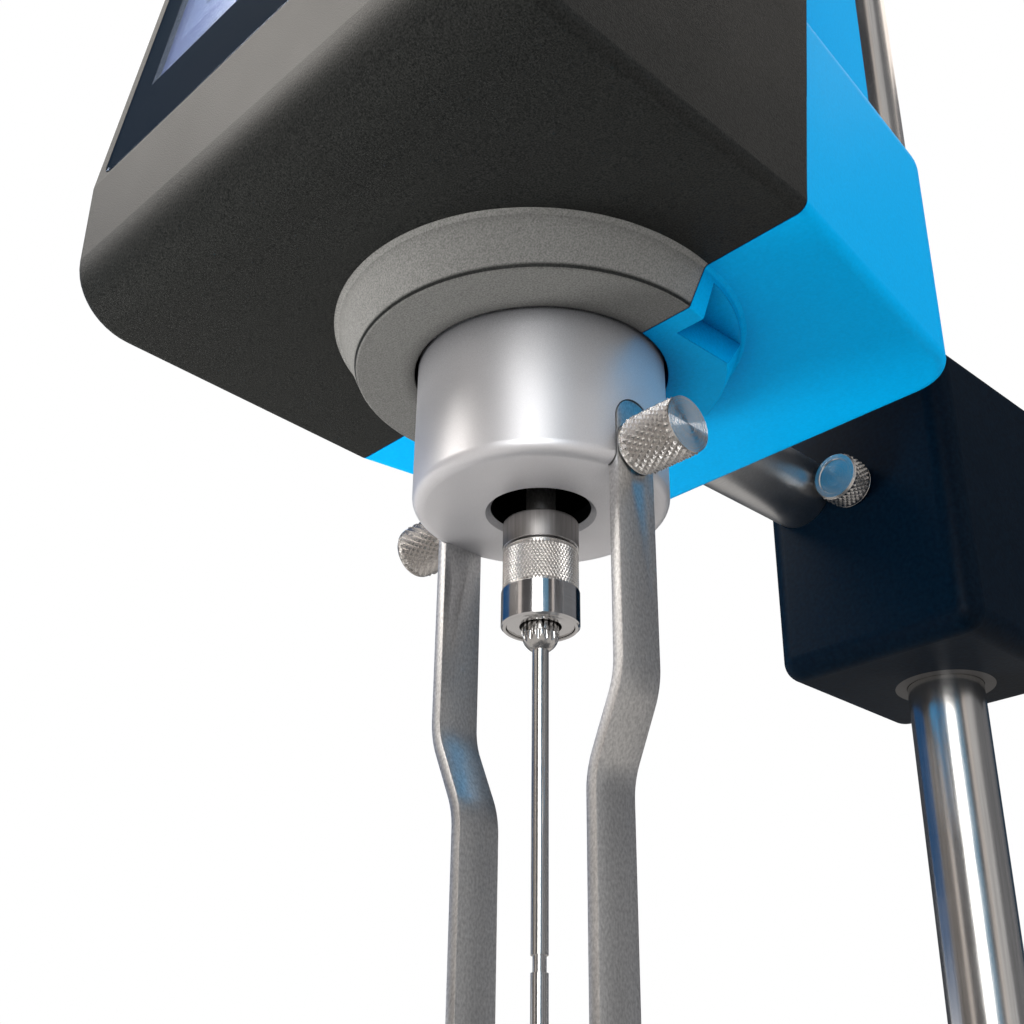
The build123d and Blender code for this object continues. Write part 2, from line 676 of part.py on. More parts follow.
with BuildPart() as drive_cup:
    turned(
        [
            (CUP_RADIUS - CUP_WALL, CUP_TOP - CUP_DEPTH),
            (CUP_RADIUS, CUP_TOP - CUP_DEPTH),
            (CUP_RADIUS, CUP_TOP + CUP_WALL),
            (CUP_HUB, CUP_TOP + CUP_WALL),
            (CUP_HUB, CUP_TOP + CUP_HUB + CUP_WALL),
            (MOTOR_SHAFT, CUP_TOP + CUP_HUB + CUP_WALL),
            (MOTOR_SHAFT, CUP_TOP),
            (CUP_RADIUS - CUP_WALL, CUP_TOP),
        ]
    )
keep(drive_cup, "drive_cup")

with BuildPart() as motor_shaft:
    ring(0, MOTOR_SHAFT, CUP_TOP, MOTOR_Z + MOTOR_LENGTH / 3)
keep(motor_shaft, "motor_shaft")

with BuildPart() as motor:
    boss_radius = 3 * MOTOR_SHAFT
    turned(
        [
            (0, MOTOR_Z - MOTOR_PLATE),
            (boss_radius, MOTOR_Z - MOTOR_PLATE),
            (boss_radius, MOTOR_Z),
            (MOTOR_RADIUS, MOTOR_Z),
            (MOTOR_RADIUS, MOTOR_Z + MOTOR_LENGTH),
            (boss_radius, MOTOR_Z + MOTOR_LENGTH),
            (boss_radius, MOTOR_Z + MOTOR_LENGTH + MOTOR_PLATE),
            (0, MOTOR_Z + MOTOR_LENGTH + MOTOR_PLATE),
        ]
    )
    ring(
        0,
        MOTOR_SHAFT + RUN,
        MOTOR_Z - 2 * MOTOR_PLATE,
        MOTOR_Z + MOTOR_LENGTH / 3 + GAP,
        mode=Mode.SUBTRACT,
    )
keep(motor, "motor")

for name, low in (("lower_bearing", HOUSING_BOTTOM), ("upper_bearing", HOUSING_TOP - BEARING_WIDTH)):
    with BuildPart() as bearing:
        ring(DRIVE_SHAFT + RUN, BEARING_RADIUS, low, low + BEARING_WIDTH)
    keep(bearing, name)

with BuildPart() as bearing_housing:
    waist = BEARING_RADIUS - CUP_WALL
    turned(
        [
            (BEARING_RADIUS, HOUSING_BOTTOM),
            (HOUSING_RADIUS, HOUSING_BOTTOM),
            (HOUSING_RADIUS, PLATE_TOP),
            (HOUSING_FLANGE, PLATE_TOP),
            (HOUSING_FLANGE, PLATE_TOP + CUP_WALL),
            (HOUSING_RADIUS, PLATE_TOP + CUP_WALL),
            (HOUSING_RADIUS, HOUSING_TOP),
            (BEARING_RADIUS, HOUSING_TOP),
            (BEARING_RADIUS, HOUSING_TOP - BEARING_WIDTH),
            (waist, HOUSING_TOP - BEARING_WIDTH),
            (waist, HOUSING_BOTTOM + BEARING_WIDTH),
            (BEARING_RADIUS, HOUSING_BOTTOM + BEARING_WIDTH),
        ]
    )
    with BuildSketch(AXIS_PLANE.offset(PLATE_TOP)):
        with PolarLocations((HOUSING_RADIUS + HOUSING_FLANGE) / 2, 3):
            Circle(SMALL_SCREW)
    extrude(amount=CUP_WALL, mode=Mode.SUBTRACT)
keep(bearing_housing, "bearing_housing")

# The coupling: a core fixed to the shaft and a knurled sleeve that slips down over it.
SLEEVE_TOP = COUPLING_TOP - COUPLING_NECK - COUPLING_GROOVE
CORE_END = COUPLING_BOTTOM + COUPLING_GROOVE
SOCKET_TOP = CORE_END + SOCKET_DEPTH
STEM_TOP = HUB_Z + HUB_STEM_LENGTH

with BuildPart() as coupling_body:
    turned(
        [
            (0, COUPLING_TOP),
            (COUPLING_RADIUS, COUPLING_TOP),
            (COUPLING_RADIUS, COUPLING_TOP - COUPLING_NECK),
            (CORE_RADIUS, COUPLING_TOP - COUPLING_NECK),
            (CORE_RADIUS, CORE_END),
            (SOCKET_RADIUS, CORE_END),
            (SOCKET_RADIUS, SOCKET_TOP),
            (HUB_STEM, SOCKET_TOP),
            (HUB_STEM, STEM_TOP),
            (0, STEM_TOP),
        ]
    )
    chamfer(coupling_body.faces().sort_by(Axis.Z)[-1].edges(), COUPLING_GROOVE)
keep(coupling_body, "coupling_body")

with BuildPart() as coupling_sleeve:
    turned(
        [
            (CORE_RADIUS + SLIP, COUPLING_BOTTOM),
            (RING_RADIUS, COUPLING_BOTTOM),
            (RING_RADIUS, COUPLING_BOTTOM + RING_HEIGHT),
            (COUPLING_RADIUS, COUPLING_BOTTOM + RING_HEIGHT),
            (COUPLING_RADIUS, SLEEVE_TOP),
            (CORE_RADIUS + SLIP, SLEEVE_TOP),
        ]
    )
keep(coupling_sleeve, "coupling_sleeve")

# The spindle: a toothed ball hub that locks in the coupling, a thin shaft and the disc.
HUB_TOP = SOCKET_TOP - SEAT
SPINDLE_SHAFT_TOP = HUB_Z - HUB_RADIUS + HUB_SHAFT_BITE

with BuildPart() as spindle_hub:
    with Locations(AXIS_PLANE.offset(HUB_Z)):
        Sphere(HUB_RADIUS)
    ring(0, HUB_RADIUS, HUB_Z, HUB_TOP)
    with BuildSketch(AXIS_PLANE.offset(HUB_Z)):
        with PolarLocations(HUB_RADIUS, HUB_FLUTES):
            Circle(HUB_FLUTE)
    extrude(amount=-HUB_RADIUS, mode=Mode.SUBTRACT)
    with BuildSketch(AXIS_PLANE.offset(HUB_TOP)):
        with PolarLocations(HUB_RADIUS, HUB_TEETH):
            Rectangle(HUB_TOOTH_WIDE, HUB_TOOTH_DEEP)
    extrude(amount=HUB_Z - HUB_TOP, mode=Mode.SUBTRACT)
    ring(0, HUB_STEM, HUB_TOP - HUB_STEM, STEM_TOP)
    ring(0, SHAFT_RADIUS, HUB_Z - 2 * HUB_RADIUS, SPINDLE_SHAFT_TOP, mode=Mode.SUBTRACT)
keep(spindle_hub, "spindle_hub")

with BuildPart() as spindle_shaft:
    groove_top = IMMERSION_Z + IMMERSION_GROOVE / 2
    groove_low = IMMERSION_Z - IMMERSION_GROOVE / 2
    turned(
        [
            (0, SPINDLE_TIP),
            (SHAFT_RADIUS, SPINDLE_TIP),
            (SHAFT_RADIUS, groove_low),
            (IMMERSION_NECK, groove_low),
            (IMMERSION_NECK, groove_top),
            (SHAFT_RADIUS, groove_top),
            (SHAFT_RADIUS, SPINDLE_SHAFT_TOP),
            (0, SPINDLE_SHAFT_TOP),
        ]
    )
keep(spindle_shaft, "spindle_shaft")

with BuildPart() as spindle_disc:
    ring(SHAFT_RADIUS, DISC_RADIUS, DISC_Z - DISC_HEIGHT / 2, DISC_Z + DISC_HEIGHT / 2)
keep(spindle_disc, "spindle_disc")

# The frame in the head: plate, bracket, pillars, motor plate and the encoder's reader.
COLLAR_SCREW_HEAD = COLLAR_SCREW * HEAD_RATIO
pillar_grid = [(x, y) for x in (-PILLAR_X, PILLAR_X) for y in (-PILLAR_Y, PILLAR_Y)]
bracket_spots = [(-BRACKET_SCREW_X, BRACKET_SCREW_Y), (BRACKET_SCREW_X, BRACKET_SCREW_Y)]
FOOT_START = BRACKET_Y / 3
plate_depth = PLATE_BACK - PLATE_FRONT

with BuildPart() as chassis_plate:
    with BuildSketch(AXIS_PLANE.offset(FLANGE_TOP)):
        with Locations((0, PLATE_FRONT + plate_depth / 2)):
            RectangleRounded(PLATE_WIDTH, plate_depth, 2 * PLATE)
        Circle(NECK_RADIUS, mode=Mode.SUBTRACT)
        with PolarLocations(COLLAR_SCREW_CIRCLE, 4, start_angle=45):
            Circle(COLLAR_SCREW, mode=Mode.SUBTRACT)
        with Locations(bracket_spots):
            Circle(COLLAR_SCREW, mode=Mode.SUBTRACT)
        with Locations(pillar_grid):
            Circle(SMALL_SCREW, mode=Mode.SUBTRACT)
    extrude(amount=PLATE)
keep(chassis_plate, "chassis_plate")


def cap_screw(tip, seat, spots):
    """Socket screws whose heads sit at a height and whose tips reach down to another."""
    with BuildSketch(AXIS_PLANE.offset(tip)) as shank:
        with Locations(spots):
            Circle(COLLAR_SCREW)
    extrude(shank.sketch, amount=seat - tip)
    with BuildSketch(AXIS_PLANE.offset(seat)) as screw_head:
        with Locations(spots):
            Circle(COLLAR_SCREW_HEAD)
            RegularPolygon(COLLAR_SCREW * 0.8, 6, mode=Mode.SUBTRACT)
    extrude(screw_head.sketch, amount=2 * COLLAR_SCREW)


collar_spots = [
    (sx * COLLAR_SCREW_CIRCLE * cos(pi / 4), sy * COLLAR_SCREW_CIRCLE * sin(pi / 4))
    for sx in (-1, 1)
    for sy in (-1, 1)
]
with BuildPart() as chassis_screws:
    cap_screw(BOSS_LAND, PLATE_TOP, collar_spots)
    cap_screw(FLANGE_TOP, PLATE_TOP + BRACKET, bracket_spots)
keep(chassis_screws, "chassis_screws")

with BuildPart() as plate_pillars:
    with BuildSketch(AXIS_PLANE.offset(PLATE_TOP)):
        with Locations(pillar_grid):
            Circle(PILLAR)
    extrude(amount=PILLAR_LENGTH)
    with BuildSketch(AXIS_PLANE.offset(FLANGE_TOP + PLATE / 4)):
        with Locations(pillar_grid):
            Circle(SMALL_SCREW)
    extrude(amount=PILLAR_LENGTH + PLATE / 4 * 3 + MOTOR_PLATE)
keep(plate_pillars, "plate_pillars")

with BuildPart() as motor_plate:
    with BuildSketch(AXIS_PLANE.offset(PLATE_TOP + PILLAR_LENGTH)):
        RectangleRounded(2 * (PILLAR_X + 2 * PILLAR), 2 * (PILLAR_Y + 2 * PILLAR), PILLAR)
        Circle(3 * MOTOR_SHAFT, mode=Mode.SUBTRACT)
        with Locations(pillar_grid):
            Circle(SMALL_SCREW, mode=Mode.SUBTRACT)
    extrude(amount=MOTOR_PLATE)
keep(motor_plate, "motor_plate")

BOARD_X = -PILLAR_X - PILLAR
with BuildPart() as encoder_board:
    with Locations(AXIS_PLANE * Location((BOARD_X, 0, ENCODER_Z))):
        Box(BOARD, 2 * PILLAR_Y, 6 * PILLAR, align=(Align.MAX, Align.CENTER, Align.CENTER))
keep(encoder_board, "encoder_board")

with BuildPart() as encoder_reader:
    reader_tip = -ENCODER_RADIUS + 2 * CUP_WALL
    middle = ENCODER_Z + ENCODER_THICK / 2
    with Locations(AXIS_PLANE * Location((BOARD_X, 0, middle))):
        Box(reader_tip - BOARD_X, 3 * PILLAR, 2 * PILLAR, align=(Align.MIN, Align.CENTER, Align.CENTER))
    with Locations(AXIS_PLANE * Location((-ENCODER_RADIUS - 4 * GAP, 0, middle))):
        Box(
            ENCODER_RADIUS,
            4 * PILLAR,
            ENCODER_THICK + 4 * GAP,
            align=(Align.MIN, Align.CENTER, Align.CENTER),
            mode=Mode.SUBTRACT,
        )
keep(encoder_reader, "encoder_reader")

WEB_LOW = WALL + 2 * GAP
NUT_LENGTH = 7.0
NUT_RADIUS = 9.5
with BuildPart() as rod_bracket:
    with BuildSketch(at(BRACKET_Y)):
        with Locations((0, WEB_LOW)):
            Rectangle(BRACKET_WIDTH, BRACKET_HEIGHT, align=(Align.CENTER, Align.MIN))
        with Locations((-ROD_X, ROD_Z)):
            Circle(ROD_SPIGOT, mode=Mode.SUBTRACT)
    extrude(amount=BRACKET)
    with BuildSketch(AXIS_PLANE.offset(PLATE_TOP)):
        with Locations((0, FOOT_START)):
            Rectangle(BRACKET_WIDTH, BRACKET_Y - FOOT_START, align=(Align.CENTER, Align.MIN))
        with Locations((ROD_X, BRACKET_Y)):
            Rectangle(
                2.6 * NUT_RADIUS,
                2.6 * NUT_LENGTH,
                align=(Align.CENTER, Align.MAX),
                mode=Mode.SUBTRACT,
            )
        Circle(HOUSING_FLANGE + GAP, mode=Mode.SUBTRACT)
        with Locations(pillar_grid):
            Circle(PILLAR + GAP, mode=Mode.SUBTRACT)
        with Locations(collar_spots):
            Circle(COLLAR_SCREW_HEAD + GAP, mode=Mode.SUBTRACT)
        with Locations(bracket_spots):
            Circle(COLLAR_SCREW, mode=Mode.SUBTRACT)
    extrude(amount=BRACKET)
    gusset_top = BRACKET_HEIGHT - BRACKET
    for x in (-BRACKET_WIDTH / 2, BRACKET_WIDTH / 2 - BRACKET):
        with BuildSketch(SIDE.offset(x)):
            with BuildLine():
                Polyline(
                    (BRACKET_Y, PLATE_TOP + BRACKET),
                    (BRACKET_Y - gusset_top / 2, PLATE_TOP + BRACKET),
                    (BRACKET_Y, gusset_top),
                    close=True,
                )
            make_face()
        extrude(amount=BRACKET)
keep(rod_bracket, "rod_bracket")

with BuildPart() as rod_nut:
    with BuildSketch(at(BRACKET_Y - NUT_LENGTH)):
        with Locations((-ROD_X, ROD_Z)):
            RegularPolygon(NUT_RADIUS, 6, major_radius=False)
            Circle(ROD_SPIGOT, mode=Mode.SUBTRACT)
    extrude(amount=NUT_LENGTH)
keep(rod_nut, "rod_nut")

ROD_START = BRACKET_Y + BRACKET
ROD_END = BLOCK_FRONT + ROD_DEPTH
with BuildPart() as head_rod:
    along_y([(ROD_X, ROD_Z)], ROD_RADIUS, ROD_START, ROD_END)
    chamfer(head_rod.faces().sort_by(Axis.Y)[-1].edges(), 1.0)
    along_y([(ROD_X, ROD_Z)], ROD_SPIGOT, BRACKET_Y - NUT_LENGTH - 2, ROD_START)
keep(head_rod, "head_rod")

# Sockets and switch on a plate behind the window at the back.
PLATE_FACE = HUMP_Y - WALL
SOCKET_BACK = PLATE_FACE - SOCKET_PLATE
INLET = 5.5
ROUND_SOCKET = 7.0
USB_WIDTH = 14.4
USB_HEIGHT = 7.0
SERIAL_WIDTH = 17.0
SERIAL_HEIGHT = 8.6
SWITCH_WIDTH = 21.0
SWITCH_HEIGHT = 14.0
SWITCH_WALL = 1.6
upper_row = SOCKET_PLATE_Z + 26
middle_row = SOCKET_PLATE_Z
lower_row = SOCKET_PLATE_Z - 27
SOCKET_X = 14.0

with BuildPart() as socket_plate:
    with BuildSketch(at(SOCKET_BACK)):
        with Locations((0, SOCKET_PLATE_Z)):
            RectangleRounded(SOCKET_PLATE_WIDTH, SOCKET_PLATE_HEIGHT, SOCKET_LIP)
        with Locations((SOCKET_X, lower_row)):
            Circle(INLET, mode=Mode.SUBTRACT)
        with Locations((-SOCKET_X, lower_row)):
            Rectangle(SWITCH_WIDTH, SWITCH_HEIGHT, mode=Mode.SUBTRACT)
        with Locations((SOCKET_X, middle_row)):
            Rectangle(USB_WIDTH, USB_HEIGHT, mode=Mode.SUBTRACT)
        with Locations((-SOCKET_X, middle_row)):
            Circle(ROUND_SOCKET, mode=Mode.SUBTRACT)
        with Locations((0, upper_row)):
            Rectangle(SERIAL_WIDTH, SERIAL_HEIGHT, mode=Mode.SUBTRACT)
    extrude(amount=SOCKET_PLATE)
keep(socket_plate, "socket_plate")

INLET_DEPTH = 9.0
with BuildPart() as power_inlet:
    with BuildSketch(at(PLATE_FACE)):
        with Locations((SOCKET_X, lower_row)):
            Circle(INLET + 1.5)
    extrude(amount=1.5)
    with BuildSketch(at(PLATE_FACE)):
        with Locations((SOCKET_X, lower_row)):
            Circle(INLET)
    extrude(amount=-INLET_DEPTH - 2)
    with BuildSketch(at(PLATE_FACE + 1.5)):
        with Locations((SOCKET_X, lower_row)):
            Circle(INLET / 2)
            Circle(1.0, mode=Mode.SUBTRACT)
    extrude(amount=-INLET_DEPTH, mode=Mode.SUBTRACT)
keep(power_inlet, "power_inlet")

with BuildPart() as probe_socket:
    with BuildSketch(at(PLATE_FACE)):
        with Locations((-SOCKET_X, middle_row)):
            Circle(ROUND_SOCKET + 2)
    extrude(amount=2)
    with BuildSketch(at(PLATE_FACE)):
        with Locations((-SOCKET_X, middle_row)):
            Circle(ROUND_SOCKET)
    extrude(amount=-INLET_DEPTH)
    with BuildSketch(at(PLATE_FACE + 2)):
        with Locations((-SOCKET_X, middle_row)):
            Circle(ROUND_SOCKET - 1.5)
            with PolarLocations(3.0, 4, start_angle=45):
                Circle(0.6, mode=Mode.SUBTRACT)
    extrude(amount=-INLET_DEPTH + 2, mode=Mode.SUBTRACT)
keep(probe_socket, "probe_socket")

with BuildPart() as usb_port:
    with BuildSketch(at(PLATE_FACE + 0.6)):
        with Locations((SOCKET_X, middle_row)):
            Rectangle(USB_WIDTH, USB_HEIGHT)
    extrude(amount=-2 * INLET_DEPTH)
    with BuildSketch(at(PLATE_FACE + 0.6)):
        with Locations((SOCKET_X, middle_row)):
            Rectangle(USB_WIDTH - 1.2, USB_HEIGHT - 1.2)
        with Locations((SOCKET_X, middle_row + 1)):
            Rectangle(USB_WIDTH - 3.4, 1.8, mode=Mode.SUBTRACT)
    extrude(amount=-INLET_DEPTH, mode=Mode.SUBTRACT)
keep(usb_port, "usb_port")

with BuildPart() as data_port:
    with BuildSketch(at(PLATE_FACE)):
        with Locations((0, upper_row)):
            RectangleRounded(SERIAL_WIDTH + 13, SERIAL_HEIGHT + 4, 1.5)
    extrude(amount=0.8)
    with BuildSketch(at(PLATE_FACE)):
        with Locations((0, upper_row)):
            Rectangle(SERIAL_WIDTH, SERIAL_HEIGHT)
    extrude(amount=-INLET_DEPTH)
    with BuildSketch(at(PLATE_FACE + 0.8)):
        with Locations((0, upper_row)):
            Trapezoid(SERIAL_WIDTH, SERIAL_HEIGHT, 80, rotation=180)
    extrude(amount=5)
    with BuildSketch(at(PLATE_FACE + 5.8)):
        with Locations((0, upper_row)):
            Trapezoid(SERIAL_WIDTH - 1.2, SERIAL_HEIGHT - 1.2, 80, rotation=180)
            for row, count in ((1.4, 5), (-1.4, 4)):
                with Locations((0, row)):
                    with GridLocations(2.76, 1, count, 1):
                        Circle(0.5, mode=Mode.SUBTRACT)
    extrude(amount=-5.4, mode=Mode.SUBTRACT)
keep(data_port, "data_port")

SWITCH_FACE = PLATE_FACE + 1.5
SWITCH_DEEP = 10.0
with BuildPart() as switch_frame:
    with BuildSketch(at(PLATE_FACE)):
        with Locations((-SOCKET_X, lower_row)):
            Rectangle(SWITCH_WIDTH + 3, SWITCH_HEIGHT + 3)
    extrude(amount=SWITCH_FACE - PLATE_FACE)
    with BuildSketch(at(PLATE_FACE)):
        with Locations((-SOCKET_X, lower_row)):
            Rectangle(SWITCH_WIDTH, SWITCH_HEIGHT)
    extrude(amount=-SWITCH_DEEP - SOCKET_PLATE)
    with BuildSketch(at(SWITCH_FACE)):
        with Locations((-SOCKET_X, lower_row)):
            Rectangle(SWITCH_WIDTH - 2 * SWITCH_WALL, SWITCH_HEIGHT - 2 * SWITCH_WALL)
    extrude(amount=-SWITCH_DEEP, mode=Mode.SUBTRACT)
keep(switch_frame, "switch_frame")

ROCKER_WIDTH = SWITCH_WIDTH - 2 * SWITCH_WALL - 4 * GAP
ROCKER_TILT = 8.0
ROCKER_DEPTH = 4.0
ROCKER_AXIS = SWITCH_FACE - 2.0
ROCKER_LOW = lower_row - SWITCH_HEIGHT / 2 + SWITCH_WALL + GAP
tilt = radians(ROCKER_TILT)
with BuildPart() as switch_rocker:
    rocker_plane = Plane(
        origin=(SOCKET_X, SPINDLE_Y + ROCKER_AXIS, HEAD_Z + ROCKER_LOW),
        x_dir=(cos(tilt), sin(tilt), 0),
        z_dir=(0, 0, 1),
    )
    rise = ROCKER_WIDTH / 2 * tan(tilt)
    with BuildSketch(rocker_plane):
        with BuildLine():
            Polyline(
                (-ROCKER_WIDTH / 2, 1 + rise),
                (0, 1.0),
                (ROCKER_WIDTH / 2, 1 + rise),
                (ROCKER_WIDTH / 2, -1.0),
                (0, -ROCKER_DEPTH),
                (-ROCKER_WIDTH / 2, -1.0),
                close=True,
            )
        make_face()
    extrude(amount=SWITCH_HEIGHT - 2 * SWITCH_WALL - 2 * GAP)
keep(switch_rocker, "switch_rocker")

# A bubble level in the top of the head.
with BuildPart() as level_body:
    spot = AXIS_PLANE * Location((LEVEL_X, LEVEL_Y, 0))
    with BuildSketch(Plane(spot).offset(HEAD_HEIGHT - 2 * WALL)):
        Circle(LEVEL_RADIUS)
    extrude(amount=2 * WALL)
    with BuildSketch(Plane(spot).offset(HEAD_HEIGHT)):
        Circle(LEVEL_RADIUS + LEVEL_LIP)
    extrude(amount=LEVEL_LIP)
    chamfer(level_body.faces().sort_by(Axis.Z)[-1].edges(), LEVEL_LIP / 3)
    with BuildSketch(Plane(spot).offset(HEAD_HEIGHT - WALL)):
        Circle(LEVEL_RADIUS - LEVEL_LIP)
    extrude(amount=2 * WALL, mode=Mode.SUBTRACT)
keep(level_body, "level_body")

with BuildPart() as level_vial:
    with BuildSketch(Plane(spot).offset(HEAD_HEIGHT - WALL)):
        Circle(LEVEL_RADIUS - LEVEL_LIP)
    extrude(amount=WALL + LEVEL_LIP)
    fillet(level_vial.faces().sort_by(Axis.Z)[-1].edges(), LEVEL_LIP)
keep(level_vial, "level_vial")

# The clamp block: one bore for the column's bush, a blind one beside it for the rod.
with BuildPart() as clamp_block:
    with BuildSketch(AXIS_PLANE.offset(BLOCK_BOTTOM)):
        with Locations((0, BLOCK_MID_Y)):
            RectangleRounded(BLOCK_WIDTH, BLOCK_BACK - BLOCK_FRONT, BLOCK_EDGE)
    extrude(amount=BLOCK_TOP - BLOCK_BOTTOM)
    fillet(clamp_block.faces().sort_by(Axis.Z)[0].edges(), BLOCK_LOWER_EDGE)
    fillet(clamp_block.faces().sort_by(Axis.Z)[-1].edges(), BLOCK_EDGE / 3)
    with BuildSketch(AXIS_PLANE.offset(2 * BLOCK_BOTTOM)):
        with Locations((0, AXES_APART)):
            Circle(BUSH_RADIUS)
    extrude(amount=4 * BLOCK_TOP, mode=Mode.SUBTRACT)
    along_y([(ROD_X, ROD_Z)], ROD_RADIUS + RUN, BACK_Y, ROD_END + GAP, Mode.SUBTRACT)
    along_y([(0, CLAMP_SCREW_Z)], CLAMP_SCREW + RUN, BACK_Y, AXES_APART, Mode.SUBTRACT)
    with BuildSketch(AXIS_PLANE.offset(ROD_Z)):
        with Locations((ROD_X, BLOCK_FRONT + ROD_DEPTH / 2)):
            Circle(ROD_SCREW + RUN)
    extrude(amount=2 * BLOCK_TOP, mode=Mode.SUBTRACT)
keep(clamp_block, "clamp_block")

with BuildPart() as column_bush:
    with BuildSketch(AXIS_PLANE.offset(BLOCK_BOTTOM)):
        with Locations((0, AXES_APART)):
            Circle(BUSH_RADIUS)
            Circle(COLUMN_RADIUS + SLIP, mode=Mode.SUBTRACT)
    extrude(amount=BLOCK_TOP - BLOCK_BOTTOM)
    with BuildSketch(AXIS_PLANE.offset(BLOCK_TOP)):
        with Locations((0, AXES_APART)):
            Circle(BUSH_RADIUS + BUSH_LIP)
            Circle(COLUMN_RADIUS + SLIP, mode=Mode.SUBTRACT)
    extrude(amount=BUSH_LIP)
    along_y([(0, CLAMP_SCREW_Z)], CLAMP_SCREW + RUN, BACK_Y, AXES_APART, Mode.SUBTRACT)
keep(column_bush, "column_bush")

with BuildPart() as column_clamp_screw:
    head_back = BLOCK_FRONT - GAP
    along_y([(0, CLAMP_SCREW_Z)], CLAMP_SCREW_HEAD, head_back - CLAMP_SCREW_HEAD_LENGTH, head_back)
    chamfer(column_clamp_screw.edges().filter_by(GeomType.CIRCLE), 0.8)
    along_y([(0, CLAMP_SCREW_Z)], CLAMP_SCREW, head_back, AXES_APART - COLUMN_RADIUS - GAP)
keep(column_clamp_screw, "column_clamp_screw")

with BuildPart() as rod_lock_screw:
    with BuildSketch(AXIS_PLANE.offset(BLOCK_TOP + GAP)):
        with Locations((ROD_X, BLOCK_FRONT + ROD_DEPTH / 2)):
            Circle(ROD_SCREW_HEAD)
    extrude(amount=ROD_SCREW_HEAD_LENGTH)
    chamfer(rod_lock_screw.edges().filter_by(GeomType.CIRCLE), 0.8)
    with BuildSketch(AXIS_PLANE.offset(BLOCK_TOP + GAP)):
        with Locations((ROD_X, BLOCK_FRONT + ROD_DEPTH / 2)):
            Circle(ROD_SCREW)
    extrude(amount=ROD_Z + ROD_RADIUS - BLOCK_TOP)
keep(rod_lock_screw, "rod_lock_screw")

# The stand: a ribbed casting on three levelling feet, with the column bolted in from below.
COLUMN_SPOT = (0, COLUMN_Y)
FOOT_BOSS = 2.2 * FOOT_STUD
with BuildPart() as base_casting:
    with BuildSketch(Plane.XY.offset(FOOT_HEIGHT)):
        RectangleRounded(BASE_WIDTH, BASE_DEPTH, BASE_CORNER)
    extrude(amount=BASE_HEIGHT, taper=BASE_DRAFT)
    fillet(base_casting.faces().sort_by(Axis.Z)[-1].edges(), BASE_RIM / 3)
    with BuildSketch(Plane.XY.offset(FOOT_HEIGHT)):
        RectangleRounded(BASE_WIDTH - 2 * BASE_RIM, BASE_DEPTH - 2 * BASE_RIM, BASE_CORNER - BASE_RIM)
        Rectangle(RIB, BASE_DEPTH, mode=Mode.SUBTRACT)
        for y in (-BASE_DEPTH / 6, BASE_DEPTH / 6):
            with Locations((0, y)):
                Rectangle(BASE_WIDTH, RIB, mode=Mode.SUBTRACT)
        for x in (-BASE_WIDTH / 4, BASE_WIDTH / 4):
            with Locations((x, 0)):
                Rectangle(RIB, BASE_DEPTH, mode=Mode.SUBTRACT)
        with Locations(COLUMN_SPOT):
            Circle(COLUMN_BOSS, mode=Mode.SUBTRACT)
        with Locations(*FOOT_SPOTS.values()):
            Circle(FOOT_BOSS, mode=Mode.SUBTRACT)
    extrude(amount=BASE_HEIGHT - BASE_SKIN, mode=Mode.SUBTRACT)
    with BuildSketch(Plane.XY.offset(COLUMN_FOOT)):
        with Locations(COLUMN_SPOT):
            Circle(COLUMN_RADIUS)
    extrude(amount=2 * BASE_HEIGHT, mode=Mode.SUBTRACT)
    with BuildSketch():
        with Locations(COLUMN_SPOT):
            Circle(ROD_SCREW)
    extrude(amount=BASE_HEIGHT, mode=Mode.SUBTRACT)
    with BuildSketch():
        with Locations(*FOOT_SPOTS.values()):
            Circle(FOOT_STUD + RUN)
    extrude(amount=BASE_TOP - BASE_RIM / 2, mode=Mode.SUBTRACT)
keep(base_casting, "base_casting")

BOLT_LENGTH = 18.0
with BuildPart() as column:
    with BuildSketch(Plane.XY.offset(COLUMN_FOOT)):
        with Locations(COLUMN_SPOT):
            Circle(COLUMN_RADIUS)
    extrude(amount=COLUMN_LENGTH)
    with BuildSketch(Plane.XY.offset(COLUMN_FOOT)):
        with Locations(COLUMN_SPOT):
            Circle(ROD_SCREW)
    extrude(amount=BOLT_LENGTH, mode=Mode.SUBTRACT)
keep(column, "column")

with BuildPart() as column_bolt:
    bolt_head = 4.0
    with BuildSketch(Plane.XY.offset(FOOT_HEIGHT - bolt_head)):
        with Locations(COLUMN_SPOT):
            RegularPolygon(ROD_SCREW * HEAD_RATIO, 6, major_radius=False)
    extrude(amount=bolt_head)
    with BuildSketch(Plane.XY.offset(FOOT_HEIGHT)):
        with Locations(COLUMN_SPOT):
            Circle(ROD_SCREW)
    extrude(amount=COLUMN_FOOT - FOOT_HEIGHT + BOLT_LENGTH - 2)
keep(column_bolt, "column_bolt")

with BuildPart() as column_cap:
    with BuildSketch(Plane.XY.offset(COLUMN_FOOT + COLUMN_LENGTH)):
        with Locations(COLUMN_SPOT):
            Circle(COLUMN_RADIUS + 1)
    extrude(amount=CAP_HEIGHT)
    fillet(column_cap.faces().sort_by(Axis.Z)[-1].edges(), CAP_HEIGHT / 3)
keep(column_cap, "column_cap")

for name, spot in FOOT_SPOTS.items():
    with BuildPart() as levelling_foot:
        with BuildSketch(Plane.XY.offset(PAD_HEIGHT)):
            with Locations(spot):
                Circle(FOOT_DISC)
        extrude(amount=FOOT_DISC_HEIGHT)
        chamfer(levelling_foot.edges().filter_by(GeomType.CIRCLE), 0.8)
        with BuildSketch(Plane.XY.offset(PAD_HEIGHT + FOOT_DISC_HEIGHT)):
            with Locations(spot):
                Circle(FOOT_STUD)
        extrude(amount=BASE_HEIGHT - BASE_RIM)
    keep(levelling_foot, f"levelling_foot_{name}")
    with BuildPart() as foot_pad:
        with BuildSketch():
            with Locations(spot):
                Circle(PAD_RADIUS)
        extrude(amount=PAD_HEIGHT)
    keep(foot_pad, f"foot_pad_{name}")
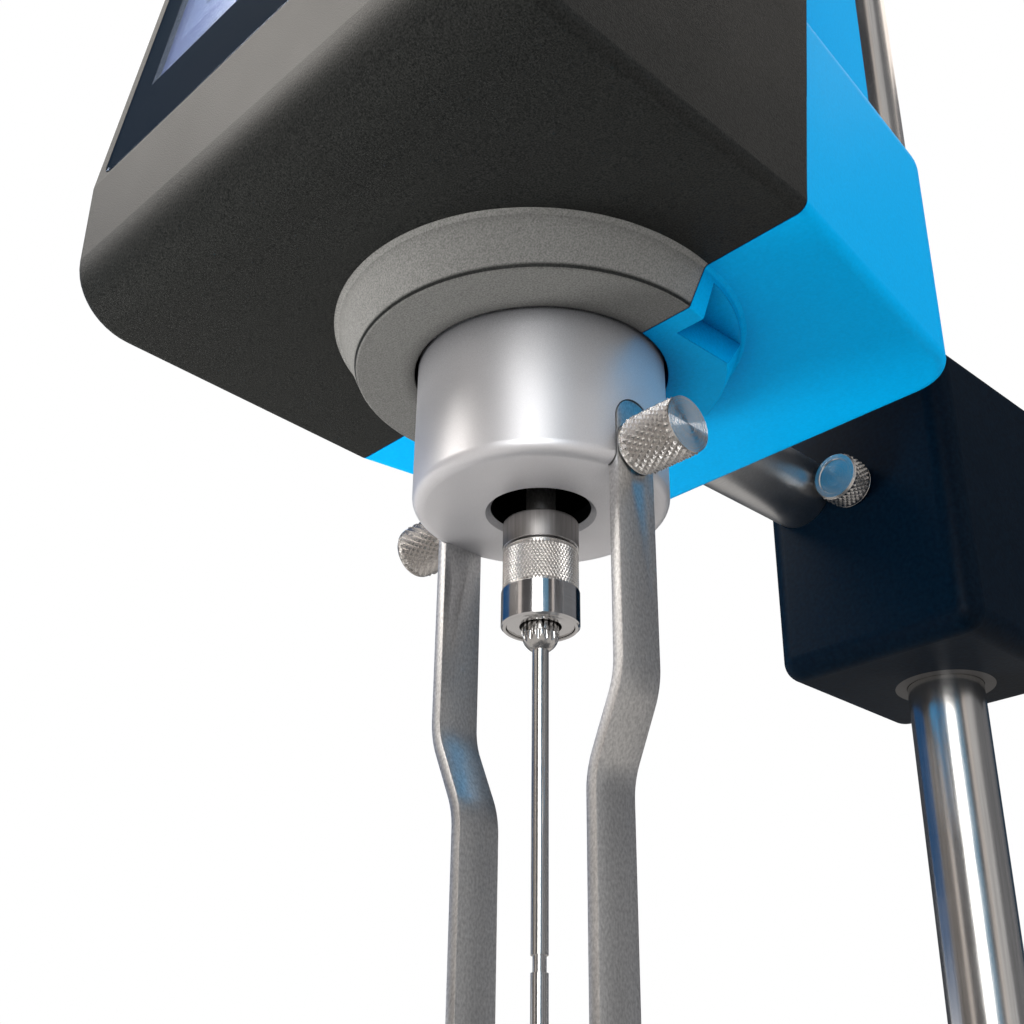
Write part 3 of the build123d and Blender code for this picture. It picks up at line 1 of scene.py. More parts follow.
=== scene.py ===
# %% [markdown]
# # A viscometer head on its column stand
# The housing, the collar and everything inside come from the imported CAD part. This lesson sets up the
# camera and the studio, gives each finish a material, and models the pieces whose fine shapes a CAD
# solid leaves out: knurled screws and feet, the coupling sleeve, softened edges, hexagon sockets, the
# bent guard leg, the lit screen, the switch's signs and the bubble of the level.

# %% Load the part and keep its size
import json
import math

import bpy
from mathutils import Matrix, Vector

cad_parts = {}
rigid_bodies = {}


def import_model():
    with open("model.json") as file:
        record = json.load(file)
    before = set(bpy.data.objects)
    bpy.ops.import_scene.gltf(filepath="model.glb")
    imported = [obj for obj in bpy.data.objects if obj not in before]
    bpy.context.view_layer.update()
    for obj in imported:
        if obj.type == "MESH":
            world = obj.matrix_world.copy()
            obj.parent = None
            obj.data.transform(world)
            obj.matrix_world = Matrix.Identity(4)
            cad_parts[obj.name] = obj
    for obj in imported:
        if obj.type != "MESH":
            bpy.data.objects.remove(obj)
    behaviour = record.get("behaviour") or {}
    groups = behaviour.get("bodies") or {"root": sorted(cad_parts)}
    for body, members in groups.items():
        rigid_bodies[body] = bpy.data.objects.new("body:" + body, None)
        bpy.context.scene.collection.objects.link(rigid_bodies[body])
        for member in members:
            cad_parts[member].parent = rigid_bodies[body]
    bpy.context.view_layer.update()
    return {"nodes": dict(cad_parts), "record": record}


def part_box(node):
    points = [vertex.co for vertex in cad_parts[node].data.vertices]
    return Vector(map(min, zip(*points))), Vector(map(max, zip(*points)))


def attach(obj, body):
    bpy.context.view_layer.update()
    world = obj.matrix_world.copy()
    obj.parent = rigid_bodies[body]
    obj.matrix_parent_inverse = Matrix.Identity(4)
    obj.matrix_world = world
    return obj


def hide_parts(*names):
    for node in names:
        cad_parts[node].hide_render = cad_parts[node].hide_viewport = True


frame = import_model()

MM = 0.001
nodes = frame["nodes"]
bodies = {node: body for body, names in frame["record"]["behaviour"]["bodies"].items() for node in names}

# %% [markdown]
# ## The camera
# The photograph looks up at the underside of the head from the front right. Its place and angles were
# worked out from the straight edges and the rings that show, so the render lines up with it. Most
# measures in this lesson start where the spindle's axis meets the underside of the head.

# %% Place the camera
SPINDLE = Vector((0, -0.047, 0.285))
EYE = Vector((0.18444, -0.22714, 0.11229))
TURN, RISE, ROLL = math.radians(46.979), math.radians(27.198), math.radians(0.7665)
# The lens and the sensor in mm, and the nearest distance that shows, in metres.
LENS, SENSOR, NEAREST = 50.18, 36, 0.01

camera_data = bpy.data.cameras.new("camera")
camera_data.lens = LENS
camera_data.sensor_width = SENSOR
camera_data.clip_start = NEAREST
camera = bpy.data.objects.new("camera", camera_data)
bpy.context.scene.collection.objects.link(camera)
camera.matrix_world = (
    Matrix.Translation(EYE)
    @ Matrix.Rotation(TURN, 4, "Z")
    @ Matrix.Rotation(math.pi / 2 + RISE, 4, "X")
    @ Matrix.Rotation(ROLL, 4, "Z")
)
bpy.context.scene.camera = camera
print("camera is", round((EYE - SPINDLE).length / MM), "mm from the spindle's axis under the head")

# %% [markdown]
# ## Helpers
# An operator in Blender works on whatever is selected, so each piece starts from a clean selection.
# Materials are trees of nodes. One helper adds a node, makes its settings and feeds its inputs, and
# a few more do so for the kinds of node that come back often.

# %% Helpers for the selection
def deselect():
    """Back to object mode with nothing selected."""
    if bpy.context.object and bpy.context.object.mode != "OBJECT":
        bpy.ops.object.mode_set(mode="OBJECT")
    bpy.ops.object.select_all(action="DESELECT")


def only(piece):
    """Selects one piece and nothing else."""
    deselect()
    piece.select_set(True)
    bpy.context.view_layer.objects.active = piece


# %% Helpers for nodes
def feed(tree, node, inputs):
    """Gives inputs of a node, by label or number, a socket to link or a fixed value."""
    for place, value in inputs.items():
        if isinstance(value, bpy.types.NodeSocket):
            tree.links.new(value, node.inputs[place])
        else:
            node.inputs[place].default_value = value


def add(tree, kind, inputs=None, **settings):
    """A new node, with its settings made before its inputs are fed."""
    node = tree.nodes.new(kind)
    for name, value in settings.items():
        setattr(node, name, value)
    feed(tree, node, inputs or {})
    return node


def maths(tree, operation, *values):
    """The result of a Math node."""
    return add(tree, "ShaderNodeMath", dict(enumerate(values)), operation=operation).outputs["Value"]


def vector_maths(tree, operation, *values, result="Vector"):
    """The result of a Vector Math node, which is a plain Value for a length or a dot product."""
    return add(tree, "ShaderNodeVectorMath", dict(enumerate(values)), operation=operation).outputs[result]


def ranged(tree, value, low, high, to_low=0.0, to_high=1.0):
    """The result of a Map Range node."""
    ends = {"From Min": low, "From Max": high, "To Min": to_low, "To Max": to_high}
    return add(tree, "ShaderNodeMapRange", {"Value": value, **ends}).outputs["Result"]


def noise(tree, vector, scale, detail):
    """The value of a noise texture read at a vector."""
    inputs = {"Vector": vector, "Scale": scale, "Detail": detail}
    return add(tree, "ShaderNodeTexNoise", inputs).outputs["Fac"]


def plain(name, colour, roughness, metallic=0.0):
    """A material with one Principled shader."""
    made = bpy.data.materials.new(name)
    made.use_nodes = True
    shader = made.node_tree.nodes["Principled BSDF"]
    shader.inputs["Base Color"].default_value = (*colour, 1)
    shader.inputs["Roughness"].default_value = roughness
    shader.inputs["Metallic"].default_value = metallic
    return made


# %% [markdown]
# ## The studio
# A white room with a pale floor. The room shows white to the camera and in metal and glass, and
# lights everything else at a plain level. Photographers hang cards round shiny pieces so that steel
# has something to reflect: dark ones shape it, and narrow bright ones draw its highlights. The cards
# here stand in a ring round the coupling and show in reflections only.

# %% The white room
scene = bpy.context.scene
scene.view_settings.view_transform = "Standard"
ROOM_LIGHT, ROOM_WHITE = 0.42, 1.0

world = bpy.data.worlds.new("room")
scene.world = world
world.use_nodes = True
room = world.node_tree
room.nodes.clear()
path = add(room, "ShaderNodeLightPath").outputs
seen = path["Is Camera Ray"]
for label in ("Is Glossy Ray", "Is Transmission Ray"):
    seen = maths(room, "MAXIMUM", seen, path[label])
strength = ranged(room, seen, 0.0, 1.0, ROOM_LIGHT, ROOM_WHITE)
glow = add(room, "ShaderNodeBackground", {"Color": (1, 1, 1, 1), "Strength": strength})
add(room, "ShaderNodeOutputWorld", {"Surface": glow.outputs["Background"]})
print("room lights at", ROOM_LIGHT)

# %% The floor
FLOOR_RADIUS, FLOOR_PAPER, FLOOR_ROUGHNESS = 6, (0.74, 0.74, 0.74), 0.9
FLOOR_IN_STEEL = (0.50, 0.475, 0.45)

deselect()
bpy.ops.mesh.primitive_circle_add(
    vertices=96, radius=FLOOR_RADIUS, fill_type="NGON", location=(0, 0, 0)
)
floor = bpy.context.object
floor.name = "floor"
paper = plain("floor_paper", FLOOR_PAPER, FLOOR_ROUGHNESS)
inner = paper.node_tree
path = add(inner, "ShaderNodeLightPath").outputs
shade = add(inner, "ShaderNodeEmission", {"Color": (*FLOOR_IN_STEEL, 1)})
paint = inner.nodes["Principled BSDF"]
both = add(
    inner, "ShaderNodeMixShader",
    {"Fac": path["Is Glossy Ray"], 1: paint.outputs[0], 2: shade.outputs[0]},
)
feed(inner, inner.nodes["Material Output"], {"Surface": both.outputs[0]})
floor.data.materials.append(paper)
print("floor is", 2 * FLOOR_RADIUS, "m across")


# %% Lamps
def toward(azimuth, elevation):
    """A direction from the coupling: degrees round from +X toward +Y, and degrees up."""
    turn, rise = math.radians(azimuth), math.radians(elevation)
    return Vector((math.cos(turn) * math.cos(rise), math.sin(turn) * math.cos(rise), math.sin(rise)))


def lamp(name, azimuth, elevation, away, power, size, colour=(1, 1, 1), gloss=False):
    """A square soft lamp aimed at the coupling, in degrees, metres and watts."""
    data = bpy.data.lights.new(name, "AREA")
    data.energy = power
    data.size = size
    data.color = colour
    made = bpy.data.objects.new(name, data)
    scene.collection.objects.link(made)
    made.location = SPINDLE + toward(azimuth, elevation) * away
    made.rotation_mode = "QUATERNION"
    made.rotation_quaternion = (-toward(azimuth, elevation)).to_track_quat("-Z", "Y")
    made.visible_camera = False
    made.visible_glossy = gloss


WARM, MILD, COOL = (1, 0.94, 0.87), (1, 0.98, 0.96), (0.95, 0.98, 1)
lamp("key", -137, 46, away=1.7, power=29, size=1.1, colour=WARM, gloss=True)
lamp("top", -30, 75, away=1.5, power=12, size=1.0)
lamp("side", 30, 15, away=1.2, power=6, size=0.7, colour=COOL)
lamp("front", -75, -8, away=0.9, power=2.0, size=0.4, colour=MILD)
lamp("low", -150, -22, away=0.45, power=2.8, size=0.15, colour=MILD)


# %% A card
def card(name, azimuth, elevation, colour, strength=1.0, away=1.25):
    """A flat card that only reflections see, facing the coupling. azimuth and elevation are the two
    ends of what it covers, in degrees, and away is in metres."""
    deselect()
    middle = SPINDLE + toward(sum(azimuth) / 2, sum(elevation) / 2) * away
    bpy.ops.mesh.primitive_plane_add(size=1, location=middle)
    made = bpy.context.object
    made.name = name
    wide, high = (2 * away * math.tan(math.radians(b - a) / 2) for a, b in (azimuth, elevation))
    made.scale = (wide, high, 1)
    made.rotation_mode = "QUATERNION"
    made.rotation_quaternion = (SPINDLE - middle).to_track_quat("Z", "Y")
    glowing = bpy.data.materials.new(name)
    glowing.use_nodes = True
    inner = glowing.node_tree
    inner.nodes.clear()
    light = add(inner, "ShaderNodeEmission", {"Color": (*colour, 1), "Strength": strength})
    add(inner, "ShaderNodeOutputMaterial", {"Surface": light.outputs[0]})
    made.data.materials.append(glowing)
    made.visible_camera = False
    made.visible_diffuse = False
    made.visible_shadow = False
    made.visible_transmission = False


# %% The ring of cards
BROWN, DARK_BROWN, BEIGE = (0.15, 0.135, 0.125), (0.075, 0.07, 0.07), (0.72, 0.64, 0.58)
NAVY, GREY = (0.015, 0.035, 0.06), (0.18, 0.18, 0.19)
card("strip_white", (-66, -40), (-14, 27), (1, 0.99, 0.97), strength=4.8)
card("strip_blue", (-40, -22), (-14, 27), (0.16, 0.34, 0.50), strength=0.8)
card("over_strips", (-66, -22), (27, 60), (0.05, 0.05, 0.055))
card("strip_brown_right", (-22, -11), (-14, 60), DARK_BROWN)
card("strip_beige_right", (-11, -2), (-14, 60), BEIGE)
card("pale_right", (-2, 22), (-14, 62), (0.52, 0.51, 0.50))
card("dark_right", (22, 60), (-14, 62), (0.17, 0.17, 0.175))
card("grey_right", (60, 80), (-14, 36), GREY)
card("navy_right", (80, 112), (-14, 36), NAVY)
card("over_grey", (60, 112), (36, 44), GREY)
card("warm_high", (66, 100), (43, 62), (1.0, 0.90, 0.82), strength=1.5)
card("over_right", (-66, 60), (62, 86), (0.10, 0.10, 0.11), away=1.3)
card("dark_back", (112, 168), (-14, 60), (0.05, 0.055, 0.065))
card("navy_left", (168, 212), (2, 40), (0.02, 0.08, 0.20))
card("dark_high", (165, 208), (40, 78), (0.035, 0.06, 0.10), away=1.35)
card("brown_left", (-148, -112), (-14, 26), BROWN)
card("strip_beige_left", (-112, -101), (-14, 26), BEIGE)
card("strip_brown_left", (-101, -66), (-14, 26), DARK_BROWN)
card("over_left", (-112, -66), (26, 50), BROWN)

# %% [markdown]
# ## Surface effects
# Each effect is a node group, made once and placed in every material that shows it: the eroded grain
# of a moulding tool, the long scratches of ground steel, the fine rings that a lathe leaves, painted
# shade along sharp edges, and painted shade in the inner corners that little light reaches. Two more
# groups only say where something is. The boss under the head is painted paler than the housing round
# it, a painted highlight for the light it catches beside the bright collar, and the collar's bore is
# painted black as its shade. A mask by distance from the spindle's axis needs no seams.

# %% Grain, scratches and lathe rings
PATCH_SCALE, STREAK_PATCH_SCALE = 22.0, 55.0


def group(name, inputs, outputs):
    """A shader node group with float inputs and outputs, and its two end nodes."""
    made = bpy.data.node_groups.new(name, "ShaderNodeTree")
    for label, value in inputs.items():
        socket = made.interface.new_socket(label, in_out="INPUT", socket_type="NodeSocketFloat")
        socket.default_value = value
    for label in outputs:
        made.interface.new_socket(label, in_out="OUTPUT", socket_type="NodeSocketFloat")
    return made, made.nodes.new("NodeGroupInput"), made.nodes.new("NodeGroupOutput")


grain_group, start, end = group("moulded_grain", {"Scale": 1400.0}, ["Height", "Patch"])
place = add(grain_group, "ShaderNodeTexCoord").outputs["Object"]
feed(grain_group, end, {
    "Height": noise(grain_group, place, start.outputs["Scale"], 2.0),
    "Patch": noise(grain_group, place, PATCH_SCALE, 3.0),
})

ground_group, start, end = group("ground_grain", {"X": 2600.0, "Y": 2600.0, "Z": 40.0}, ["Streak", "Patch"])
place = add(ground_group, "ShaderNodeTexCoord").outputs["Object"]
stretch = add(ground_group, "ShaderNodeCombineXYZ", {axis: start.outputs[axis] for axis in "XYZ"})
scaled = vector_maths(ground_group, "MULTIPLY", place, stretch.outputs[0])
feed(ground_group, end, {
    "Streak": noise(ground_group, scaled, 1.0, 3.0),
    "Patch": noise(ground_group, place, STREAK_PATCH_SCALE, 4.0),
})

rings_group, start, end = group("lathe_rings", {"Scale": 6000.0}, ["Ring", "Patch"])
place = add(rings_group, "ShaderNodeTexCoord").outputs["Object"]
profile = add(rings_group, "ShaderNodeAttribute", attribute_name="profile")
rings = add(
    rings_group, "ShaderNodeTexNoise",
    {"W": profile.outputs["Fac"], "Scale": start.outputs["Scale"], "Detail": 2.0},
    noise_dimensions="1D",
)
feed(rings_group, end, {
    "Ring": rings.outputs["Fac"],
    "Patch": noise(rings_group, place, STREAK_PATCH_SCALE, 3.0),
})
print("groups:", [g.name for g in bpy.data.node_groups])

# %% Painted shade on edges and in inner corners
# How alike a rounded and a plain normal are: the painted edge shade shows in full below the first,
# not above the second. How open to light a spot is works the same way for the painted shade in
# inner corners.
EDGE_SHARP, EDGE_FLAT = 0.8, 0.995
CORNER_DARK, CORNER_OPEN = 0.35, 0.9

# Sharp edges are painted darker: painted shade for the thin dark lines that edges show.
edge_shade_group, start, end = group("painted_edge_shade", {"Width": 0.0005}, ["Edge"])
rounded = add(edge_shade_group, "ShaderNodeBevel", {"Radius": start.outputs["Width"]}, samples=4)
facing = add(edge_shade_group, "ShaderNodeNewGeometry")
normals = (rounded.outputs["Normal"], facing.outputs["Normal"])
alike = vector_maths(edge_shade_group, "DOT_PRODUCT", *normals, result="Value")
feed(edge_shade_group, end, {"Edge": ranged(edge_shade_group, alike, EDGE_SHARP, EDGE_FLAT, 1.0, 0.0)})

# Inner corners are painted darker where little light reaches them: painted shade.
corner_shade_group, start, end = group("painted_corner_shade", {"Distance": 0.006}, ["Inside"])
reach = {"Distance": start.outputs["Distance"]}
open_to_light = add(corner_shade_group, "ShaderNodeAmbientOcclusion", reach, samples=8).outputs["AO"]
feed(corner_shade_group, end, {
    "Inside": ranged(corner_shade_group, open_to_light, CORNER_DARK, CORNER_OPEN, 1.0, 0.0),
})
print("groups:", [g.name for g in bpy.data.node_groups])


# %% The painted light on the boss
def from_spindle(tree):
    """The distance from the spindle's axis, and the height over the underside of the head."""
    place = add(tree, "ShaderNodeTexCoord").outputs["Object"]
    shift = vector_maths(tree, "SUBTRACT", place, SPINDLE)
    flat = vector_maths(tree, "MULTIPLY", shift, (1, 1, 0))
    height = add(tree, "ShaderNodeSeparateXYZ", {0: shift}).outputs["Z"]
    return vector_maths(tree, "LENGTH", flat, result="Value"), height


# The boss in metres: how deep it hangs, its radius at the head, how that radius grows with height,
# and where the zone ends inside the housing. The boss is painted paler than the housing, a painted
# highlight for the light it catches beside the bright collar. The bands run from its floor to the
# head, and say how much of that painted highlight shows: part of it on the floor, none in the step,
# so that the housing's dark tone stays there as a line at its rim, all on the slope.
BOSS_DEEP, BOSS_FOOT, BOSS_SLOPE, BOSS_TOP = 0.00862, 0.0439, 0.43, 0.007
BOSS_FLOOR_LIGHT = 0.68
BOSS_LIGHT_BANDS = ((0.02, BOSS_FLOOR_LIGHT), (0.03, 0.0), (0.08, 0.0), (0.14, 1.0))

# The boss's zone carries a painted highlight: its tone is painted paler than the housing.
boss_light_group, start, end = group("boss_painted_light", {"Radius": BOSS_FOOT}, ["Inside"])
across, height = from_spindle(boss_light_group)
ramp = add(boss_light_group, "ShaderNodeValToRGB", {"Fac": ranged(boss_light_group, height, -BOSS_DEEP, 0.0)})
light_bands = ramp.color_ramp
for stop, light in BOSS_LIGHT_BANDS:
    light_bands.elements.new(stop).color = (light, light, light, 1)
light_bands.elements[0].color = (BOSS_FLOOR_LIGHT, BOSS_FLOOR_LIGHT, BOSS_FLOOR_LIGHT, 1)
light_bands.elements[-1].color = (1, 1, 1, 1)
cone = maths(boss_light_group, "MULTIPLY_ADD", height, BOSS_SLOPE, start.outputs["Radius"])
inside = maths(boss_light_group, "LESS_THAN", across, cone)
for limit in (ramp.outputs["Color"], maths(boss_light_group, "LESS_THAN", height, BOSS_TOP)):
    inside = maths(boss_light_group, "MULTIPLY", inside, limit)
feed(boss_light_group, end, {"Inside": inside})
print("groups:", [g.name for g in bpy.data.node_groups])

# %% The painted shade in the bore
# The bore in metres: its radius at the mouth and further in, and the height where it widens.
MOUTH_RADIUS, BORE_RADIUS, BORE_FLOOR, BORE_STEP = 0.01025, 0.0183, -0.0367, 0.0001

# The collar's bore is painted near black: painted shade inside the hole.
bore_shade_group, start, end = group("bore_painted_shade", {"Radius": MOUTH_RADIUS}, ["Inside"])
across, height = from_spindle(bore_shade_group)
wider = BORE_RADIUS - MOUTH_RADIUS
extra = ranged(bore_shade_group, height, BORE_FLOOR, BORE_FLOOR + BORE_STEP, 0.0, wider)
wall = maths(bore_shade_group, "ADD", extra, start.outputs["Radius"])
feed(bore_shade_group, end, {"Inside": maths(bore_shade_group, "LESS_THAN", across, wall)})
print("groups:", [g.name for g in bpy.data.node_groups])

# %% [markdown]
# ## The finishes
# Every slot of the record gets one material. The two housing halves share the moulded grain, the
# steel pieces share the ground grain or the lathe rings, and each keeps its own colour and gloss.
# Real steel differs from piece to piece with how it was worked, so drawn bar, a dull body and turned
# or faced ends have finishes of their own, and so have the inks of the screen and the signs.

# %% How a finish is put together
GRAIN_LOW, GRAIN_HIGH = 0.3, 0.7
DARKER, LIGHTER = 0.7, 1.3
finish = {}


def mixed(tree, factor, first, second):
    """The result of a colour Mix node."""
    inputs = {"Factor": factor, "A": first, "B": second}
    return add(tree, "ShaderNodeMix", inputs, data_type="RGBA").outputs["Result"]


def dressed(name, effect, values, bump, gloss, tones, metallic=0.0, specular=None, shaded_edge=None,
            boss_light=None, bore_shade=None, corner_shade=None):
    """A finish: an effect group drives a bump, and its grain and patches vary colour and roughness.
    bump is (strength, distance), gloss and tones are the two ends of roughness and colour, specular
    is how much a plain surface mirrors, shaded_edge is (width, colour) of painted shade on the edges,
    boss_light is the colour of a painted highlight on the round boss under the head, bore_shade is the
    colour of painted shade in the hole round the spindle, and corner_shade is (reach, colour) of
    painted shade in inner corners."""
    made = plain(name, tones[0], gloss[0], metallic)
    inner = made.node_tree
    shader = inner.nodes["Principled BSDF"]
    pattern = add(inner, "ShaderNodeGroup", values, node_tree=effect).outputs
    relief = add(
        inner, "ShaderNodeBump", {"Strength": bump[0], "Distance": bump[1], "Height": pattern[0]}
    )
    grain = ranged(inner, pattern[0], GRAIN_LOW, GRAIN_HIGH)
    colour = mixed(inner, grain, (*tones[0], 1), (*tones[1], 1))
    # Layers paint tones over the grain: a painted highlight on the boss, and painted shade on edges, in
    # inner corners and in the bore.
    layers = [(boss_light_group, {}, boss_light)] if boss_light else []
    layers += [(edge_shade_group, {"Width": shaded_edge[0]}, shaded_edge[1])] if shaded_edge else []
    layers += [(corner_shade_group, {"Distance": corner_shade[0]}, corner_shade[1])] if corner_shade else []
    layers += [(bore_shade_group, {}, bore_shade)] if bore_shade else []
    for mask_group, settings, tone in layers:
        mask = add(inner, "ShaderNodeGroup", settings, node_tree=mask_group).outputs[0]
        dark, light = ((*(share * c for c in tone), 1) for share in (DARKER, LIGHTER))
        colour = mixed(inner, mask, colour, mixed(inner, grain, dark, light))
    feed(inner, shader, {
        "Normal": relief.outputs["Normal"],
        "Roughness": ranged(inner, pattern["Patch"], GRAIN_LOW, GRAIN_HIGH, *gloss),
        "Base Color": colour,
    })
    if specular is not None:
        shader.inputs["Specular IOR Level"].default_value = specular
    finish[name] = made
    return shader


# %% Mouldings and paints
# The dark housing: painted shade on its edges and in its corners, and a painted highlight on its boss.
dressed(
    "housing_dark", grain_group, {"Scale": 3000.0}, bump=(0.35, 0.00018), gloss=(0.48, 0.56),
    tones=((0.001, 0.002, 0.002), (0.018, 0.019, 0.018)), specular=0.27,
    shaded_edge=(0.0006, (0.003, 0.003, 0.003)), boss_light=(0.160, 0.160, 0.154), corner_shade=(0.006, (0.002, 0.002, 0.002)),
)
# The blue housing: painted shade on its edges and in its corners.
dressed(
    "housing_blue", grain_group, {"Scale": 1500.0}, bump=(0.25, 0.0001), gloss=(0.38, 0.46),
    tones=((0.0, 0.33, 0.69), (0.0, 0.36, 0.75)), specular=0.02,
    shaded_edge=(0.0005, (0.0, 0.17, 0.44)), corner_shade=(0.014, (0.0, 0.035, 0.17)),
)
dressed(
    "black_plastic", grain_group, {"Scale": 1800.0}, bump=(0.2, 0.00008), gloss=(0.34, 0.46),
    tones=((0.014, 0.014, 0.015), (0.024, 0.024, 0.026)),
)
dressed(
    "block_paint", grain_group, {"Scale": 900.0}, bump=(0.3, 0.0001), gloss=(0.38, 0.50),
    tones=((0.0003, 0.003, 0.008), (0.001, 0.006, 0.013)), specular=0.05,
)
dressed(
    "base_paint", grain_group, {"Scale": 700.0}, bump=(0.4, 0.00015), gloss=(0.44, 0.58),
    tones=((0.048, 0.05, 0.053), (0.072, 0.074, 0.078)),
)
dressed(
    "pad_rubber", grain_group, {"Scale": 500.0}, bump=(0.3, 0.0002), gloss=(0.68, 0.82),
    tones=((0.017, 0.017, 0.017), (0.028, 0.028, 0.028)),
)
dressed(
    "board_green", grain_group, {"Scale": 260.0}, bump=(0.1, 0.0001), gloss=(0.3, 0.4),
    tones=((0.012, 0.10, 0.04), (0.03, 0.18, 0.08)),
)
print("finishes:", list(finish))

# %% Aluminium and ground steel
# The collar: painted shade in its corners, and its bore painted near black as shade.
dressed(
    "anodised", grain_group, {"Scale": 5200.0}, bump=(0.10, 0.00004), gloss=(0.42, 0.48),
    tones=((0.82, 0.82, 0.85), (0.88, 0.88, 0.91)), metallic=0.85,
    bore_shade=(0.006, 0.007, 0.008), corner_shade=(0.020, (0.28, 0.29, 0.32)),
)
dressed(
    "plain_aluminium", ground_group, {"X": 60.0, "Y": 2200.0, "Z": 2200.0},
    bump=(0.10, 0.00003), gloss=(0.30, 0.42),
    tones=((0.62, 0.63, 0.64), (0.72, 0.73, 0.74)), metallic=1.0,
)
dressed(
    "stainless", ground_group, {"X": 2000.0, "Y": 2000.0, "Z": 1300.0},
    bump=(0.20, 0.00003), gloss=(0.34, 0.42),
    tones=((0.52, 0.52, 0.525), (0.78, 0.78, 0.78)), metallic=1.0,
)
dressed(
    "polished_steel", ground_group, {"X": 30.0, "Y": 30.0, "Z": 2600.0},
    bump=(0.06, 0.00002), gloss=(0.10, 0.18),
    tones=((0.68, 0.68, 0.69), (0.76, 0.76, 0.77)), metallic=1.0,
)
dressed(
    "drawn_steel", ground_group, {"X": 1800.0, "Y": 1800.0, "Z": 30.0},
    bump=(0.12, 0.00002), gloss=(0.18, 0.24),
    tones=((0.62, 0.61, 0.60), (0.74, 0.73, 0.72)), metallic=1.0,
)
dressed(
    "dull_steel", ground_group, {"X": 1500.0, "Y": 1500.0, "Z": 60.0},
    bump=(0.15, 0.00002), gloss=(0.42, 0.50),
    tones=((0.27, 0.26, 0.255), (0.37, 0.355, 0.35)), metallic=1.0,
)
print("finishes:", len(finish))

# %% Turned steel, zinc, brass and bronze
dressed(
    "faced_steel", rings_group, {"Scale": 7000.0}, bump=(1.0, 0.00022), gloss=(0.14, 0.20),
    tones=((0.74, 0.72, 0.70), (0.84, 0.82, 0.80)), metallic=1.0,
)
dressed(
    "turned_steel", rings_group, {"Scale": 5000.0}, bump=(1.0, 0.00005), gloss=(0.20, 0.30),
    tones=((0.70, 0.68, 0.66), (0.82, 0.80, 0.78)), metallic=1.0,
)
dressed(
    "zinc_screw", grain_group, {"Scale": 3000.0}, bump=(0.15, 0.00003), gloss=(0.26, 0.38),
    tones=((0.54, 0.54, 0.52), (0.62, 0.62, 0.60)), metallic=1.0,
)
dressed(
    "brass", ground_group, {"X": 30.0, "Y": 30.0, "Z": 2400.0},
    bump=(0.1, 0.00003), gloss=(0.2, 0.32),
    tones=((0.66, 0.47, 0.21), (0.78, 0.58, 0.28)), metallic=1.0,
)
dressed(
    "spring_bronze", grain_group, {"Scale": 900.0}, bump=(0.1, 0.00003), gloss=(0.22, 0.34),
    tones=((0.56, 0.35, 0.17), (0.68, 0.45, 0.24)), metallic=1.0,
)
print("finishes:", len(finish))

# %% Glass and the lit display
GLASS_INDEX = 1.45
for name, tones in (
    ("cover_glass", ((0.50, 0.57, 0.70), (0.52, 0.59, 0.72))),
    ("vial", ((0.70, 0.90, 0.28), (0.74, 0.94, 0.32))),
):
    shader = dressed(
        name, grain_group, {"Scale": 60.0}, bump=(0.01, 0.00002), gloss=(0.02, 0.05), tones=tones
    )
    shader.inputs["Transmission Weight"].default_value = 1.0
    shader.inputs["IOR"].default_value = GLASS_INDEX
# The screen's materials glow because it is lit. The white ink glows faintly too, with no lamp behind it: a
# painted glow on the switch's signs and a painted highlight on the level's bubble.
for name, tone, strength in (
    ("display", (0.20, 0.22, 0.44), 0.6),
    ("display_line", (0.55, 0.64, 0.68), 0.7),
    ("display_tile", (0.30, 0.34, 0.58), 0.6),
    ("display_ink", (0.03, 0.04, 0.09), 0.2),
    ("white_ink", (0.75, 0.75, 0.73), 0.1),
):
    shader = dressed(
        name, grain_group, {"Scale": 4000.0}, bump=(0.0, 0.00001), gloss=(0.2, 0.3), tones=(tone, tone)
    )
    shader.inputs["Emission Color"].default_value = (*tone, 1)
    shader.inputs["Emission Strength"].default_value = strength
print("finishes:", len(finish))

# %% Each node its finish
slot_of = {part["node"]: part["material_slot"] for part in frame["record"]["subparts"]}
for name, node in nodes.items():
    node.data.materials.clear()
    node.data.materials.append(finish[slot_of[name]])
for name in ("spindle_shaft", "column"):
    nodes[name].data.materials[0] = finish["drawn_steel"]
print("slots:", len(set(slot_of.values())))

# %% [markdown]
# ## Modelling helpers
# A turned piece starts as a primitive on its own axis and grows ring by ring. Each step extrudes the
# open ring and scales it, as a lathe works along a bar. Each vertex keeps its height less its radius
# as an attribute. That value runs on over faces and sides alike, so the lathe's rings can follow it.
# The finished piece stands for its CAD node: it takes the node's place, body and slot.

# %% Pick vertices or edges
SAME_PLACE = 1e-7


def open_mesh(piece, kind):
    """One piece, with nothing selected in its mesh, in a select mode."""
    only(piece)
    bpy.ops.object.mode_set(mode="EDIT")
    bpy.ops.mesh.select_mode(type=kind)
    bpy.ops.mesh.select_all(action="DESELECT")
    bpy.ops.object.mode_set(mode="OBJECT")


def pick(piece, wanted):
    """Edit mode, with the vertices selected whose place passes a test."""
    open_mesh(piece, "VERT")
    for vertex in piece.data.vertices:
        vertex.select = wanted(vertex.co)
    bpy.ops.object.mode_set(mode="EDIT")


def pick_edges(piece, wanted):
    """Edit mode, with the edges selected whose two ends pass a test."""
    open_mesh(piece, "EDGE")
    for edge in piece.data.edges:
        edge.select = wanted(*(piece.data.vertices[i].co for i in edge.vertices))
    bpy.ops.object.mode_set(mode="EDIT")


# %% Grow ring by ring
def extrude(way):
    """Draws what is selected out along a way."""
    bpy.ops.mesh.extrude_region_move(TRANSFORM_OT_translate={"value": way})


